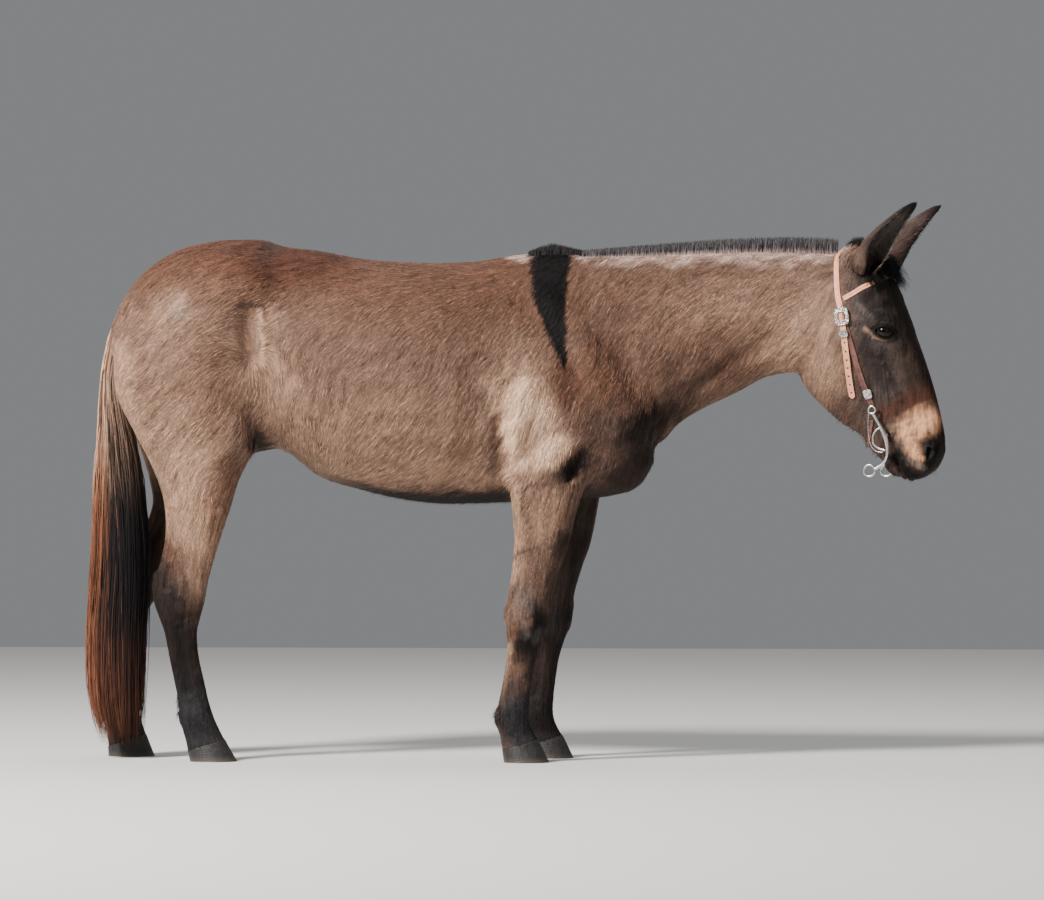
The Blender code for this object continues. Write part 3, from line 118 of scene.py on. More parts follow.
# Strokes on both sides of the body: from x, y, z, to x, y, z, reach, height
BODY_STROKES = metres((
    (100, 100, 1360, 300, 180, 1060, 70, 12), (240, 140, 1340, 400, 150, 1060, 60, -9),
    (375, 140, 1000, 330, 160, 960, 90, 18), (80, 210, 1100, 30, 200, 940, 130, 22),
    (-90, 250, 1120, -100, 220, 880, 70, -10), (-5, 170, 870, 0, 150, 830, 50, 12),
    (405, 60, 980, 330, 70, 810, 70, 12), (420, 0, 990, 360, 0, 800, 35, -9),
    (-730, 260, 1260, -670, 260, 1100, 110, -13), (-700, 170, 930, -620, 240, 1060, 50, 8),
    (-730, 230, 1390, -745, 250, 1345, 100, 13), (-970, 220, 1260, -900, 220, 1050, 160, 18),
    (-1050, 200, 1300, -1045, 170, 980, 40, -8), (-1130, 100, 1250, -1130, 90, 1220, 65, 10),
    (-770, 170, 960, -770, 170, 920, 75, 16), (-870, 180, 860, -930, 160, 720, 70, 7),
    (760, 70, 1220, 440, 120, 1030, 40, -7), (700, 80, 1300, 380, 140, 1140, 60, 5),
))
FORE_STROKES = metres((
    (170, 170, 800, 135, 160, 620, 60, 6), (108, 128, 440, 104, 127, 395, 40, 5),
    (-16, 127, 445, -12, 127, 420, 22, 7), (24, 155, 340, 2, 150, 190, 20, -6),
    (24, 95, 340, 2, 90, 190, 20, -6), (-42, 121, 145, -42, 121, 125, 25, 5),
))
HIND_STROKES = metres((
    (-968, 170, 720, -990, 155, 600, 28, -10), (-968, 95, 720, -990, 105, 600, 28, -10),
    (-1032, 130, 535, -1034, 130, 515, 30, 6), (-935, 168, 510, -950, 168, 440, 35, 5),
    (-955, 160, 380, -930, 158, 200, 22, -6), (-955, 100, 380, -930, 102, 200, 22, -6),
    (-955, 130, 135, -955, 130, 120, 25, 5),
))
# The same for the head, in its own frame
HEAD_STROKES = metres((
    (155, 95, -180, 214, 88, -172, 42, 18), (150, 90, -248, 206, 76, -252, 40, 10),
    (130, 85, -120, 140, 85, -140, 34, -9), (150, 90, -262, 205, 62, -400, 24, 6),
    (-30, 85, -210, 20, 78, -340, 90, 10), (130, 70, -340, 130, 60, -420, 50, -6),
    (-80, 0, -330, 80, 0, -500, 32, -12), (245, 50, -320, 280, 45, -460, 30, -3),
    (305, 42, -545, 285, 40, -585, 34, 7), (160, 0, -598, 170, 0, -604, 36, 9),
    (212, 0, -150, 212, 0, -180, 60, 5), (85, 70, 0, 110, 75, -30, 50, 16), (35, 0, 40, 70, 0, 50, 65, 18),
    (120, 75, -70, 150, 70, -110, 45, 10),
))
# Places where the forms are worked smooth into each other: x, y, z, radius
SOFT_SPOTS = metres((
    (130, 160, 800, 200), (280, 100, 860, 220), (300, 0, 1200, 420), (100, 180, 1150, 300),
    (-780, 180, 930, 220), (-950, 150, 1200, 420), (-980, 50, 920, 200), (-700, 200, 1350, 200),
    (880, 0, 1300, 240), (930, 0, 1440, 200),
))
HEAD_CUT = (Vector((0.864, 0, 1.295)), Vector((0.96, -0.15, -0.215)).normalized())
BODY_TRIANGLES = 96000


def head_way(u, v, w):
    """A direction of the head's own frame: u forward, v to the mule's left, w up."""
    return Matrix.Rotation(-HEAD_TURN, 3, "Z") @ Vector((u, v, w))


def head_place(u, v, w):
    """A point of the head's own frame, from the poll."""
    return POLL + head_way(u, v, w)


def in_head(points):
    """Rows of places turned into the head's own frame."""
    away = points - np.array(POLL)
    c, s = math.cos(HEAD_TURN), math.sin(HEAD_TURN)
    return np.stack((away[:, 0] * c - away[:, 1] * s, away[:, 0] * s + away[:, 1] * c, away[:, 2]), axis=1)


def catmull(a, b, c, d, t):
    """A smooth value between b and c."""
    return 0.5 * (2 * b + (c - a) * t + (2 * a - 5 * b + 4 * c - d) * t**2 + (3 * b - a - 3 * c + d) * t**3)


def smoothed(rows, step):
    """Rows of numbers, filled in along a smooth curve through them."""
    rows = [tuple(map(float, row)) for row in rows]
    ends = [rows[0]] + rows + [rows[-1]]
    filled = []
    for i in range(1, len(ends) - 2):
        a, b, c, d = ends[i - 1 : i + 3]
        reach = max(math.dist(b[0:2], c[0:2]), math.dist(b[2:4], c[2:4]))
        count = max(1, round(reach / step))
        for k in range(count):
            filled.append(tuple(catmull(*four, k / count) for four in zip(a, b, c, d)))
    filled.append(rows[-1])
    return filled


def section_point(section, angle):
    """A point of one section. It runs from its front or top edge to its back or bottom edge."""
    fx, fz, bx, bz, half_width, middle, widest, front_power, back_power = section
    front, back = Vector((fx, 0, fz)), Vector((bx, 0, bz))
    up, out = math.sin(angle), math.cos(angle)
    power = front_power if up >= 0 else back_power
    along = front.lerp(back, widest).lerp(front if up >= 0 else back, abs(up) ** (2 / power))
    return along + Vector((0, middle + math.copysign(half_width * abs(out) ** (2 / power), out), 0))


def ring_edges(ring):
    """The edges that join a ring of vertices."""
    inside = set(ring)
    return [edge for vert in ring for edge in vert.link_edges
            if edge.verts[0] is vert and set(edge.verts) <= inside]


def next_ring(bm, ring):
    """Draws a ring of vertices out into a new one and returns it in the same order."""
    made = bmesh.ops.extrude_edge_only(bm, edges=ring_edges(ring))["geom"]
    new = {item for item in made if isinstance(item, bmesh.types.BMVert)}
    return [next(edge.other_vert(vert) for edge in vert.link_edges if edge.other_vert(vert) in new)
            for vert in ring]


def loft(bm, sections, sides=28, step=0.02):
    """A closed skin drawn from one ring through all the sections."""
    ring = bmesh.ops.create_circle(bm, segments=sides, radius=1)["verts"]
    turns = [math.atan2(vert.co.y, vert.co.x) for vert in ring]
    first = ring
    for i, section in enumerate(smoothed(sections, step)):
        if i:
            ring = next_ring(bm, ring)
        for vert, turn in zip(ring, turns):
            vert.co = section_point(section, turn)
    bmesh.ops.contextual_create(bm, geom=first)
    bmesh.ops.contextual_create(bm, geom=ring)
    return bm


def step_at(table, height):
    """The forward step of a left leg at this height."""
    return np.interp(height, [row[0] for row in table[::-1]], [row[1] for row in table[::-1]])


def leg_rows(table, steps, side):
    """Leg sections on one side. Side is 1 on the left and -1 on the right."""
    rows = []
    for front, back, height, half_width, out in table:
        shift = float(step_at(steps, height)) if side > 0 else 0.0
        rows.append((front + shift, height, back + shift, height, half_width, side * out, *LEG_ROUNDNESS))
    return rows


def face_outwards(bm):
    """Turns the faces of every closed form in the mesh outwards."""
    bm.normal_update()
    bmesh.ops.recalc_face_normals(bm, faces=bm.faces)


def new_object(name, bm, *materials):
    """An object that holds this bmesh, shaded smooth."""
    mesh = bpy.data.meshes.new(name)
    bm.to_mesh(mesh)
    bm.free()
    mesh.shade_smooth()
    for material in materials:
        mesh.materials.append(material)
    made = bpy.data.objects.new(name, mesh)
    bpy.context.scene.collection.objects.link(made)
    return made


def add_modifier(obj, kind, **fields):
    """One more modifier on the object, with its fields set."""
    made = obj.modifiers.new(kind.lower(), kind)
    for field, value in fields.items():
        setattr(made, field, value)


def apply_modifiers(obj):
    """Bakes the object's modifiers into its mesh."""
    bpy.context.view_layer.update()
    graph = bpy.context.evaluated_depsgraph_get()
    mesh = bpy.data.meshes.new_from_object(obj.evaluated_get(graph))
    obj.modifiers.clear()
    obj.data = mesh


def points_of(mesh):
    """The mesh's points as rows of three."""
    values = np.empty(3 * len(mesh.vertices))
    mesh.vertices.foreach_get("co", values)
    return values.reshape(-1, 3)


def normals_of(mesh):
    """The way the mesh faces at each point."""
    values = np.empty(3 * len(mesh.vertices))
    mesh.vertex_normals.foreach_get("vector", values)
    return values.reshape(-1, 3)


def move_points(mesh, points):
    """Sets the mesh's points to these rows."""
    mesh.vertices.foreach_set("co", points.ravel())
    mesh.update()


def past_neck(points):
    """How far each point lies ahead of the plane where the head begins."""
    return (points - np.array(HEAD_CUT[0])) @ np.array(HEAD_CUT[1])


def gap_to(points, start, end):
    """How far each point lies from the line between start and end."""
    start, end = np.array(start, dtype=float), np.array(end, dtype=float)
    line = end - start
    t = np.clip((points - start) @ line / max(line @ line, 1e-12), 0, 1)
    return np.linalg.norm(points - (start + t[:, None] * line), axis=1)


def press(mesh, strokes):
    """Moves the skin out by each stroke's height near its line, less and less out to its reach."""
    points, normals = points_of(mesh), normals_of(mesh)
    for start, end, reach, height in strokes:
        low, high = np.minimum(start, end) - reach, np.maximum(start, end) + reach
        near = np.flatnonzero(((points > low) & (points < high)).all(axis=1))
        gap = gap_to(points[near], start, end) / reach
        move = height * np.clip(1 - gap**2, 0, None) ** 2
        points[near] += normals[near] * move[:, None]
    move_points(mesh, points)


def on_both_sides(table, place):
    """Each stroke on the right and on the left, with its ends set by place(point, side)."""
    strokes = []
    for *ends, reach, height in table:
        start, end = ends[:3], ends[3:]
        for side in (-1, 1):
            if side < 0 or start[1] or end[1]:
                strokes.append((place(start, side), place(end, side), reach, height))
    return strokes


def on_body(point, side):
    """A place on the trunk."""
    x, y, z = point
    return np.array((x, side * y, z))


def on_leg(steps):
    """Places on the legs that take these steps."""
    def place(point, side):
        x, y, z = point
        shift = step_at(steps, z) if side > 0 else 0.0
        return np.array((x + shift, side * y, z))
    return place


def on_head(point, side):
    """A place on the head, given in the head's own frame."""
    u, v, w = point
    return np.array(head_place(u, side * v, w))


def soften(obj, spots, rounds):
    """Works the named round places smooth, and the whole skin lightly."""
    points = points_of(obj.data)
    points[:, 1] = np.abs(points[:, 1])
    weight = np.zeros(len(points))
    for x, y, z, radius in spots:
        gap = np.linalg.norm(points - np.array((x, y, z)), axis=1) / radius
        weight = np.maximum(weight, np.clip(1.6 * (1 - gap**2), 0, 1))
    group = obj.vertex_groups.new(name="soft")
    for level in range(1, 11):
        chosen = np.flatnonzero(np.round(weight * 10) == level)
        group.add([int(i) for i in chosen], level / 10, "REPLACE")
    add_modifier(obj, "SMOOTH", vertex_group=group.name, factor=0.6, iterations=rounds)
    add_modifier(obj, "SMOOTH", factor=0.5, iterations=5)
    apply_modifiers(obj)
    obj.vertex_groups.clear()


SIDES = ((-1, "right"), (1, "left"))
bm = bmesh.new()
loft(bm, [(x, top, x, low, half, 0.0, widest, *round_) for x, top, low, half, widest, *round_ in TORSO])
loft(bm, NECK)
for side in (-1, 1):
    loft(bm, leg_rows(FORELEG, LEFT_FORE_STEP, side))
    loft(bm, leg_rows(HIND_LEG, LEFT_HIND_STEP, side))
skull = bmesh.new()
loft(skull, [(fu, fw, bu, bw, half, 0.0, *shape) for fu, fw, bu, bw, half, *shape in HEAD], step=0.012)
for vert in skull.verts:
    vert.co = head_place(*vert.co)
skull_mesh = bpy.data.meshes.new("skull")
skull.to_mesh(skull_mesh)
skull.free()
bm.from_mesh(skull_mesh)
bpy.data.meshes.remove(skull_mesh)
face_outwards(bm)
skin = new_object("skin", bm)
add_modifier(skin, "REMESH", mode="VOXEL", voxel_size=SKIN_GRAIN)
apply_modifiers(skin)
soften(skin, SOFT_SPOTS, 34)
on_foreleg, on_hind_leg = on_leg(LEFT_FORE_STEP), on_leg(LEFT_HIND_STEP)
for table, place in ((BODY_STROKES, on_body), (FORE_STROKES, on_foreleg), (HIND_STROKES, on_hind_leg),
                     (HEAD_STROKES, on_head)):
    press(skin.data, on_both_sides(table, place))

# The head's fine forms: lids drawn over the eyeballs, the orbit's folds, nostrils, lips,
# the facial crest and the veins of the cheek. The skin is split finer where they lie.
EYE_PLACE = (0.17, 0.0765, -0.207)
EYE_LOOKS = Vector((0.36, 0.92, 0.02)).normalized()
EYE_RADIUS = 0.0265
LID_WALL = 0.0028
LID_BLEND = 0.018
LID_REACH = 0.065
FINE_REACH = 0.047
FINEST_REACH = 0.04
NOSE_TOP = -0.478
LID_OPENING = (0.0272, 0.0172)
LID_TILT = -0.12
MOUTH_LINE = metres((
    (170, -498), (181, -535), (190, -572), (204, -606), (222, -645),
))
NOSTRIL_PLACE = (0.296, 0.048, -0.556)
NOSTRIL_LONG = Vector((0.2, 0.1, 0.97)).normalized()
NOSTRIL_FACES = Vector((0.66, 0.74, -0.1)).normalized()
NOSTRIL_SIZE = (0.0085, 0.0185)
NOSTRIL_DEPTH = 0.024
COAT_DEPTH = {"body": 0.0022, "head": 0.001}
HOOF_CUT_HEIGHT = 0.03

# Fine strokes of the head: from, to, reach, height
FINE_STROKES = metres((
    (150, 100, -186, 182, 100, -178, 7, -1.6), (182, 100, -178, 214, 88, -190, 7, -1.6),
    (146, 100, -172, 185, 100, -162, 9, -2), (185, 100, -162, 218, 80, -172, 9, -2),
    (140, 100, -232, 175, 100, -246, 8, -1.6), (175, 100, -246, 214, 85, -238, 8, -1.6),
    (128, 100, -196, 146, 102, -200, 8, -1.4), (214, 82, -214, 228, 70, -224, 9, -1.8),
    (152, 94, -275, 168, 88, -300, 14, 3), (168, 88, -300, 200, 66, -378, 14, 4.5),
    (110, 92, -270, 150, 84, -330, 8, 2.6), (150, 84, -330, 196, 64, -430, 7, 2.6),
    (196, 64, -430, 246, 52, -470, 7, 2.2), (235, 52, -400, 262, 46, -500, 10, -2),
    (262, 52, -515, 292, 50, -520, 12, 3), (270, 50, -540, 262, 50, -590, 10, -2.2),
    (196, 45, -520, 214, 45, -560, 16, 2.6), (160, 45, -520, 176, 45, -580, 13, 2.6),
    (155, 50, -478, 166, 52, -496, 12, -3), (150, 50, -490, 146, 50, -520, 8, -1.6),
    (60, 60, 20, 100, 85, -60, 20, -3), (-5, 90, -100, 10, 95, -160, 18, -2.2),
    (60, 95, -165, 120, 98, -182, 16, 2.6), (-70, 75, -150, -50, 70, -280, 20, -2),
))
# Finer strokes of the trunk: the hollow and crease before the hip, the groove behind the elbow,
# the pocket under it, the jugular groove, the muscles of the shoulder, thigh and forearm
HIDE_STROKES = metres((
    (-738, 250, 1296, -734, 260, 1160, 40, -13), (-705, 260, 1306, -706, 270, 1130, 20, 8),
    (-752, 260, 1128, -752, 260, 1122, 20, -9), (-765, 240, 1318, -700, 240, 1312, 14, -6),
    (0, 260, 1080, -14, 250, 980, 40, -8), (-14, 250, 980, -22, 220, 850, 40, -13),
    (60, 250, 1070, 26, 240, 960, 50, 8), (26, 240, 960, 24, 200, 840, 44, 10),
    (215, 190, 890, 190, 190, 835, 36, -17), (130, 200, 900, 110, 200, 850, 60, 7),
    (8, 180, 768, 75, 190, 796, 14, -8), (75, 190, 796, 175, 190, 812, 15, -9),
    (240, 170, 890, 360, 120, 990, 45, -9), (290, 130, 830, 360, 100, 860, 55, 7),
    (600, 70, 1125, 490, 100, 1030, 30, -7), (490, 100, 1030, 430, 120, 960, 34, -10),
    (310, 120, 1360, 360, 160, 1120, 60, -6), (175, 170, 1380, 260, 200, 1080, 50, 5),
    (400, 100, 1300, 440, 120, 1140, 50, 5), (-1030, 200, 1220, -1000, 180, 900, 28, -6),
    (-900, 240, 1150, -860, 220, 960, 30, -4), (-960, 170, 748, -835, 180, 735, 20, -4),
    (-790, 220, 980, -800, 210, 890, 46, 7), (-738, 220, 1010, -716, 180, 900, 34, -13),
    (-500, 290, 1150, -470, 250, 860, 22, -2.2), (-400, 300, 1170, -380, 260, 850, 22, -2.2),
    (-300, 300, 1180, -280, 260, 840, 22, -2.2), (-200, 290, 1170, -180, 250, 840, 22, -2.2),
    (425, 20, 910, 395, 100, 895, 42, -6), (330, 150, 960, 410, 60, 925, 22, -7),
    (250, 170, 1300, 280, 190, 1060, 24, -3), (540, 100, 1340, 700, 90, 1300, 40, -4),
    (480, 110, 1240, 720, 90, 1260, 50, 5), (780, 70, 1180, 820, 70, 1330, 30, -4),
    (-820, 50, 1515, -900, 30, 1508, 50, -4), (-730, 90, 1500, -760, 90, 1500, 50, 5),
))
HIDE_FORE_STROKES = metres((
    (182, 165, 780, 140, 165, 560, 20, -4.5), (85, 180, 760, 70, 165, 580, 22, -4),
    (5, 165, 596, 85, 170, 624, 12, -4.5), (85, 170, 624, 125, 165, 650, 12, -3.5),
    (60, 166, 478, 70, 166, 440, 18, 3), (105, 150, 475, 100, 150, 455, 16, 3),
    (20, 155, 400, 10, 150, 330, 18, -3), (-10, 145, 150, -5, 145, 125, 22, 3),
    (20, 150, 100, 40, 150, 75, 18, -2.5),
))
HIDE_HIND_STROKES = metres((
    (-905, 170, 800, -925, 165, 640, 22, -5), (-1004, 160, 680, -1006, 155, 580, 18, -10),
    (-1040, 130, 575, -1042, 130, 550, 24, 6), (-985, 160, 560, -990, 165, 505, 20, -7),
    (-992, 150, 450, -955, 145, 240, 11, -4), (-945, 168, 520, -950, 168, 480, 18, 3.5),
    (-895, 150, 545, -900, 150, 500, 18, 2.5), (-905, 150, 140, -905, 150, 120, 22, 3),
    (-895, 150, 100, -885, 150, 75, 18, -2.5),
))


def eye_axes(side):
    """The way one eye looks, and the two directions across it, forward and up."""
    looks = head_way(EYE_LOOKS.x, side * EYE_LOOKS.y, EYE_LOOKS.z)
    forward = head_way(1, 0, 0)
    forward = (forward - looks * forward.dot(looks)).normalized()
    up = head_way(0, 0, 1)
    return looks, forward, (up - looks * up.dot(looks) - forward * up.dot(forward)).normalized()


def eye_centre(side):
    """The middle of one eyeball."""
    u, v, w = EYE_PLACE
    return head_place(u, side * v, w)


def drape_lids(mesh, blend_width):
    """Draws the skin over both eyeballs, blended into the cheek and brow."""
    points = points_of(mesh)
    cover = EYE_RADIUS + LID_WALL
    for side in (-1, 1):
        centre = np.array(eye_centre(side))
        away = points - centre
        far = np.linalg.norm(away, axis=1)
        near = far < LID_REACH
        gap = far[near]
        blend = blend_width * (1 - (gap / LID_REACH) ** 2) ** 2
        raised = 0.5 * (gap + cover + np.sqrt((gap - cover) ** 2 + blend**2))
        points[near] = centre + away[near] * (np.maximum(raised, gap) / gap)[:, None]
    move_points(mesh, points)


def thin_out(obj, free, triangles):
    """Leaves about this many triangles among the free points. The rest of the skin stays as it is."""
    mesh = obj.data
    mesh.calc_loop_triangles()
    corners = np.empty(3 * len(mesh.loop_triangles), dtype=np.int32)
    mesh.loop_triangles.foreach_get("vertices", corners)
    kept = int((~free[corners.reshape(-1, 3)].any(axis=1)).sum())
    group = obj.vertex_groups.new(name="free")
    group.add([int(i) for i in np.flatnonzero(free)], 1.0, "REPLACE")
    ratio = (kept + triangles) / len(mesh.loop_triangles)
    add_modifier(obj, "DECIMATE", vertex_group=group.name, ratio=ratio)
    apply_modifiers(obj)
    obj.vertex_groups.clear()


def from_eyes(points):
    """How far each point lies from the nearer eyeball's middle."""
    return np.minimum(*(np.linalg.norm(points - np.array(eye_centre(side)), axis=1) for side in (-1, 1)))


def fine_zone(points):
    """Which points lie where the head's forms are finest: round the eyes, and from the nostrils down."""
    nose = (past_neck(points) > 0.03) & (in_head(points)[:, 2] < NOSE_TOP)
    return (from_eyes(points) < FINE_REACH) | nose


def work_smooth(bm, verts, rounds):
    """Evens out these vertices, this many times."""
    for _ in range(rounds):
        bmesh.ops.smooth_vert(bm, verts=verts, factor=0.5, use_axis_x=True, use_axis_y=True, use_axis_z=True)


for table, place in ((HIDE_STROKES, on_body), (HIDE_FORE_STROKES, on_foreleg),
                     (HIDE_HIND_STROKES, on_hind_leg)):
    press(skin.data, on_both_sides(table, place))
drape_lids(skin.data, LID_BLEND)
thin_out(skin, past_neck(points_of(skin.data)) <= 0.02, BODY_TRIANGLES)
bm = bmesh.new()
bm.from_mesh(skin.data)
for finer in (FINE_REACH, FINEST_REACH):
    points = np.array([vert.co for vert in bm.verts])
    zone = fine_zone(points)
    if finer == FINEST_REACH:
        zone &= from_eyes(points) < finer
    bm.verts.index_update()
    edges = [edge for edge in bm.edges if zone[edge.verts[0].index] and zone[edge.verts[1].index]]
    bmesh.ops.subdivide_edges(bm, edges=edges, cuts=1, use_grid_fill=True, smooth=0.6)
    zone = fine_zone(np.array([vert.co for vert in bm.verts]))
    bm.verts.index_update()
    work_smooth(bm, [vert for vert in bm.verts if zone[vert.index]], 3)
bm.to_mesh(skin.data)
bm.free()
drape_lids(skin.data, 0.004)
press(skin.data, on_both_sides(FINE_STROKES, on_head))


def carve_mouth(mesh):
    """Sinks the line between the lips and rounds the lips beside it."""
    points = points_of(mesh)
    spots = in_head(points)
    flat = spots[:, [0, 2]]
    gap = np.full(len(points), 1.0)
    for start, end in zip(MOUTH_LINE, MOUTH_LINE[1:]):
        gap = np.minimum(gap, gap_to(flat, start, end))
    inside = (np.abs(spots[:, 1]) < 0.09) & (spots[:, 2] < -0.49)
    normals = normals_of(mesh)
    crease = -0.006 * np.clip(1 - (gap / 0.005) ** 2, 0, None) ** 2
    lips = 0.0016 * np.clip(1 - ((gap - 0.009) / 0.007) ** 2, 0, None) ** 2
    points += normals * (np.where(inside, crease + lips, 0))[:, None]
    move_points(mesh, points)


def carve_nostrils(mesh):
    """Sinks each nostril as a slanting comma with a raised outer wing."""
    points = points_of(mesh)
    for side in (-1, 1):
        flip = np.array((1, side, 1))
        place = np.array(NOSTRIL_PLACE) * flip
        faces, long = np.array(NOSTRIL_FACES) * flip, np.array(NOSTRIL_LONG) * flip
        long = long - faces * (long @ faces)
        long /= np.linalg.norm(long)
        across = np.cross(long, faces)
        away = in_head(points) - place
        a, b = away @ across / NOSTRIL_SIZE[0], away @ long / NOSTRIL_SIZE[1]
        a = a - side * 0.35 * b**2 + side * 0.15
        r = np.sqrt(a**2 + b**2)
        near = (np.abs(away @ faces) < 0.03) & (r < 2.2)
        hole = -NOSTRIL_DEPTH * np.clip(1 - r**2, 0, None) ** 0.6
        rim = 0.0028 * np.exp(-(((r - 1.25) / 0.35) ** 2))
        way = head_way(*faces)
        out = head_way(*(faces * 0.6 + np.array((0.15, 0, -0.8)))).normalized()
        move = np.outer(np.where(near, rim, 0), way) + np.outer(np.where(near, hole, 0), out)
        points = points + move
    move_points(mesh, points)


carve_mouth(skin.data)
carve_nostrils(skin.data)

# The coat stands a little off the skin, so the skin lies that much inside the body's outline.
points = points_of(skin.data)
depth = np.interp(past_neck(points), (-0.05, 0.05), (COAT_DEPTH["body"], COAT_DEPTH["head"]))
move_points(skin.data, points - normals_of(skin.data) * depth[:, None])

# The ears. Each is a tall cup of thin gristle that opens outward and forward. It grows out of
# the skin beside the poll and is joined to it, and the join is worked smooth.
# By place along the ear: its radius, and how far its wall reaches round it in degrees
EAR_ROWS = (
    (0.0, 0.038, 165), (0.1, 0.043, 158), (0.2, 0.045, 142), (0.32, 0.044, 124), (0.45, 0.039, 112),
    (0.6, 0.032, 106), (0.75, 0.025, 100), (0.88, 0.018, 95), (0.95, 0.0125, 92), (0.985, 0.008, 88),
    (1.0, 0.0042, 84),
)
EAR_BASE = Vector((0.098, 0.066, -0.032))
EAR_TIP = Vector((0.276, 0.104, 0.158))
EAR_BOW = Vector((-0.01, 0.004, 0.006))
EAR_OPENS = Vector((0.64, 0.68, -0.34))
EAR_WALL = (0.0042, 0.002)
EAR_GRID = (34, 20)
EAR_FLATNESS = 0.92
SEAM_ZONE = 0.22
SEAM_WIDTH = 0.006


def ear_axes(t):
    """The middle, radius, half angle and directions of the ear at t along its length."""
    rows = np.array(EAR_ROWS)
    radius, half_angle = np.interp(t, rows[:, 0], rows[:, 1]), np.interp(t, rows[:, 0], rows[:, 2])
    centre = EAR_BASE.lerp(EAR_TIP, t) + EAR_BOW * 4 * t * (1 - t)
    tangent = (EAR_TIP - EAR_BASE + EAR_BOW * 4 * (1 - 2 * t)).normalized()
    opening = (EAR_OPENS - tangent * EAR_OPENS.dot(tangent)).normalized()
    return centre, float(radius), math.radians(half_angle), tangent, opening


def ear_point(t, around, side, inset=0.0):
    """A point of one ear's outer wall. Around runs from one rim to the other, -1 to 1."""
    centre, radius, half_angle, tangent, opening = ear_axes(t)
    across = tangent.cross(opening)
    angle = half_angle * around
    reach = radius * (1 + 0.05 * abs(around) ** 6) - inset
    place = centre - opening * reach * math.cos(angle) + across * reach * EAR_FLATNESS * math.sin(angle)
    return head_place(place.x, side * place.y, place.z)


ears = []
for side, word in SIDES:
    bm = bmesh.new()
    bmesh.ops.create_grid(bm, x_segments=EAR_GRID[0], y_segments=EAR_GRID[1], size=1)
    along = {vert: (vert.co.x + 1) / 2 for vert in bm.verts}
    for vert, t in along.items():
        vert.co = ear_point(t, vert.co.y, side, COAT_DEPTH["head"])
    ear = new_object(f"ear_shell_{word}", bm)
    group = ear.vertex_groups.new(name="wall")
    for i, t in enumerate(along.values()):
        group.add([i], 1 - (1 - EAR_WALL[1] / EAR_WALL[0]) * t, "REPLACE")
    add_modifier(ear, "SOLIDIFY", thickness=EAR_WALL[0], offset=-side, vertex_group=group.name)
    apply_modifiers(ear)
    ear.vertex_groups.clear()
    tidy = bmesh.new()
    tidy.from_mesh(ear.data)
    face_outwards(tidy)
    bmesh.ops.triangulate(tidy, faces=tidy.faces)
    tidy.to_mesh(ear.data)
    tidy.free()
    ears.append(ear)

graph = bpy.context.evaluated_depsgraph_get()
head_tree = BVHTree.FromObject(skin, graph)
ear_trees = [BVHTree.FromObject(ear, graph) for ear in ears]
ear_group = bpy.data.collections.new("ears")
bpy.context.scene.collection.children.link(ear_group)
for ear in ears:
    bpy.context.scene.collection.objects.unlink(ear)
    ear_group.objects.link(ear)
add_modifier(skin, "BOOLEAN", operation="UNION", solver="EXACT", operand_type="COLLECTION",
             collection=ear_group)
apply_modifiers(skin)
for ear in ears:
    bpy.data.objects.remove(ear)
bpy.data.collections.remove(ear_group)

bm = bmesh.new()
bm.from_mesh(skin.data)
seam = []
for vert in bm.verts:
    if (vert.co - POLL).length < SEAM_ZONE:
        off_head = head_tree.find_nearest(vert.co)[3]
        off_ear = min(tree.find_nearest(vert.co)[3] for tree in ear_trees)
        if max(off_head, off_ear) < SEAM_WIDTH:
            seam.append(vert)
work_smooth(bm, seam, 5)

# The lids' openings: an almond in front of each eyeball, with a rounded dark margin that
# turns in and rests on the ball.
# The share of the opening's half height above and below, and how pointed its corners are
LID_HALVES = (0.86, 1.08)
LID_CORNER = 1.25
# How the margin turns in: its size beside the opening, and how far it stands off the ball
LID_MARGIN = ((0.985, 0.002), (0.955, 0.001), (0.925, 0.0002), (0.86, -0.003), (0.5, -0.01))


def lid_radius(angles):
    """How far the almond's edge lies from its middle, in each direction across it."""
    turns = np.linspace(-math.pi, math.pi, 361)
    a = LID_OPENING[0] * np.cos(turns)
    above, below = LID_HALVES
    height = np.where(turns > 0, LID_OPENING[1] * above, LID_OPENING[1] * below)
    b = height * np.sign(np.sin(turns)) * np.abs(np.sin(turns)) ** LID_CORNER
    order = np.argsort(np.arctan2(b, a))
    return np.interp(angles, np.arctan2(b, a)[order], np.hypot(a, b)[order], period=2 * math.pi)


def lid_spot(points, side):
    """Where points lie across one eye: along, across, depth, and from 0 in its middle to 1 at its edge."""
    looks, forward, up = (np.array(axis) for axis in eye_axes(side))
    away = np.asarray(points) - np.array(eye_centre(side))
    a, b, depth = away @ forward, away @ up, away @ looks
    b = b - LID_TILT * a
    return a, b, depth, np.hypot(a, b) / lid_radius(np.arctan2(b, a))


def lid_place(a, b, radius, side):
    """A place at this distance from the eyeball's middle, over the spot (a, b) of the almond."""
    looks, forward, up = eye_axes(side)
    b = b + LID_TILT * a
    depth = math.sqrt(max(0.0, radius**2 - a * a - b * b))
    return eye_centre(side) + forward * a + up * b + looks * depth


def each_once(items):
    """The items in their order, each only once."""
    return list(dict.fromkeys(items))


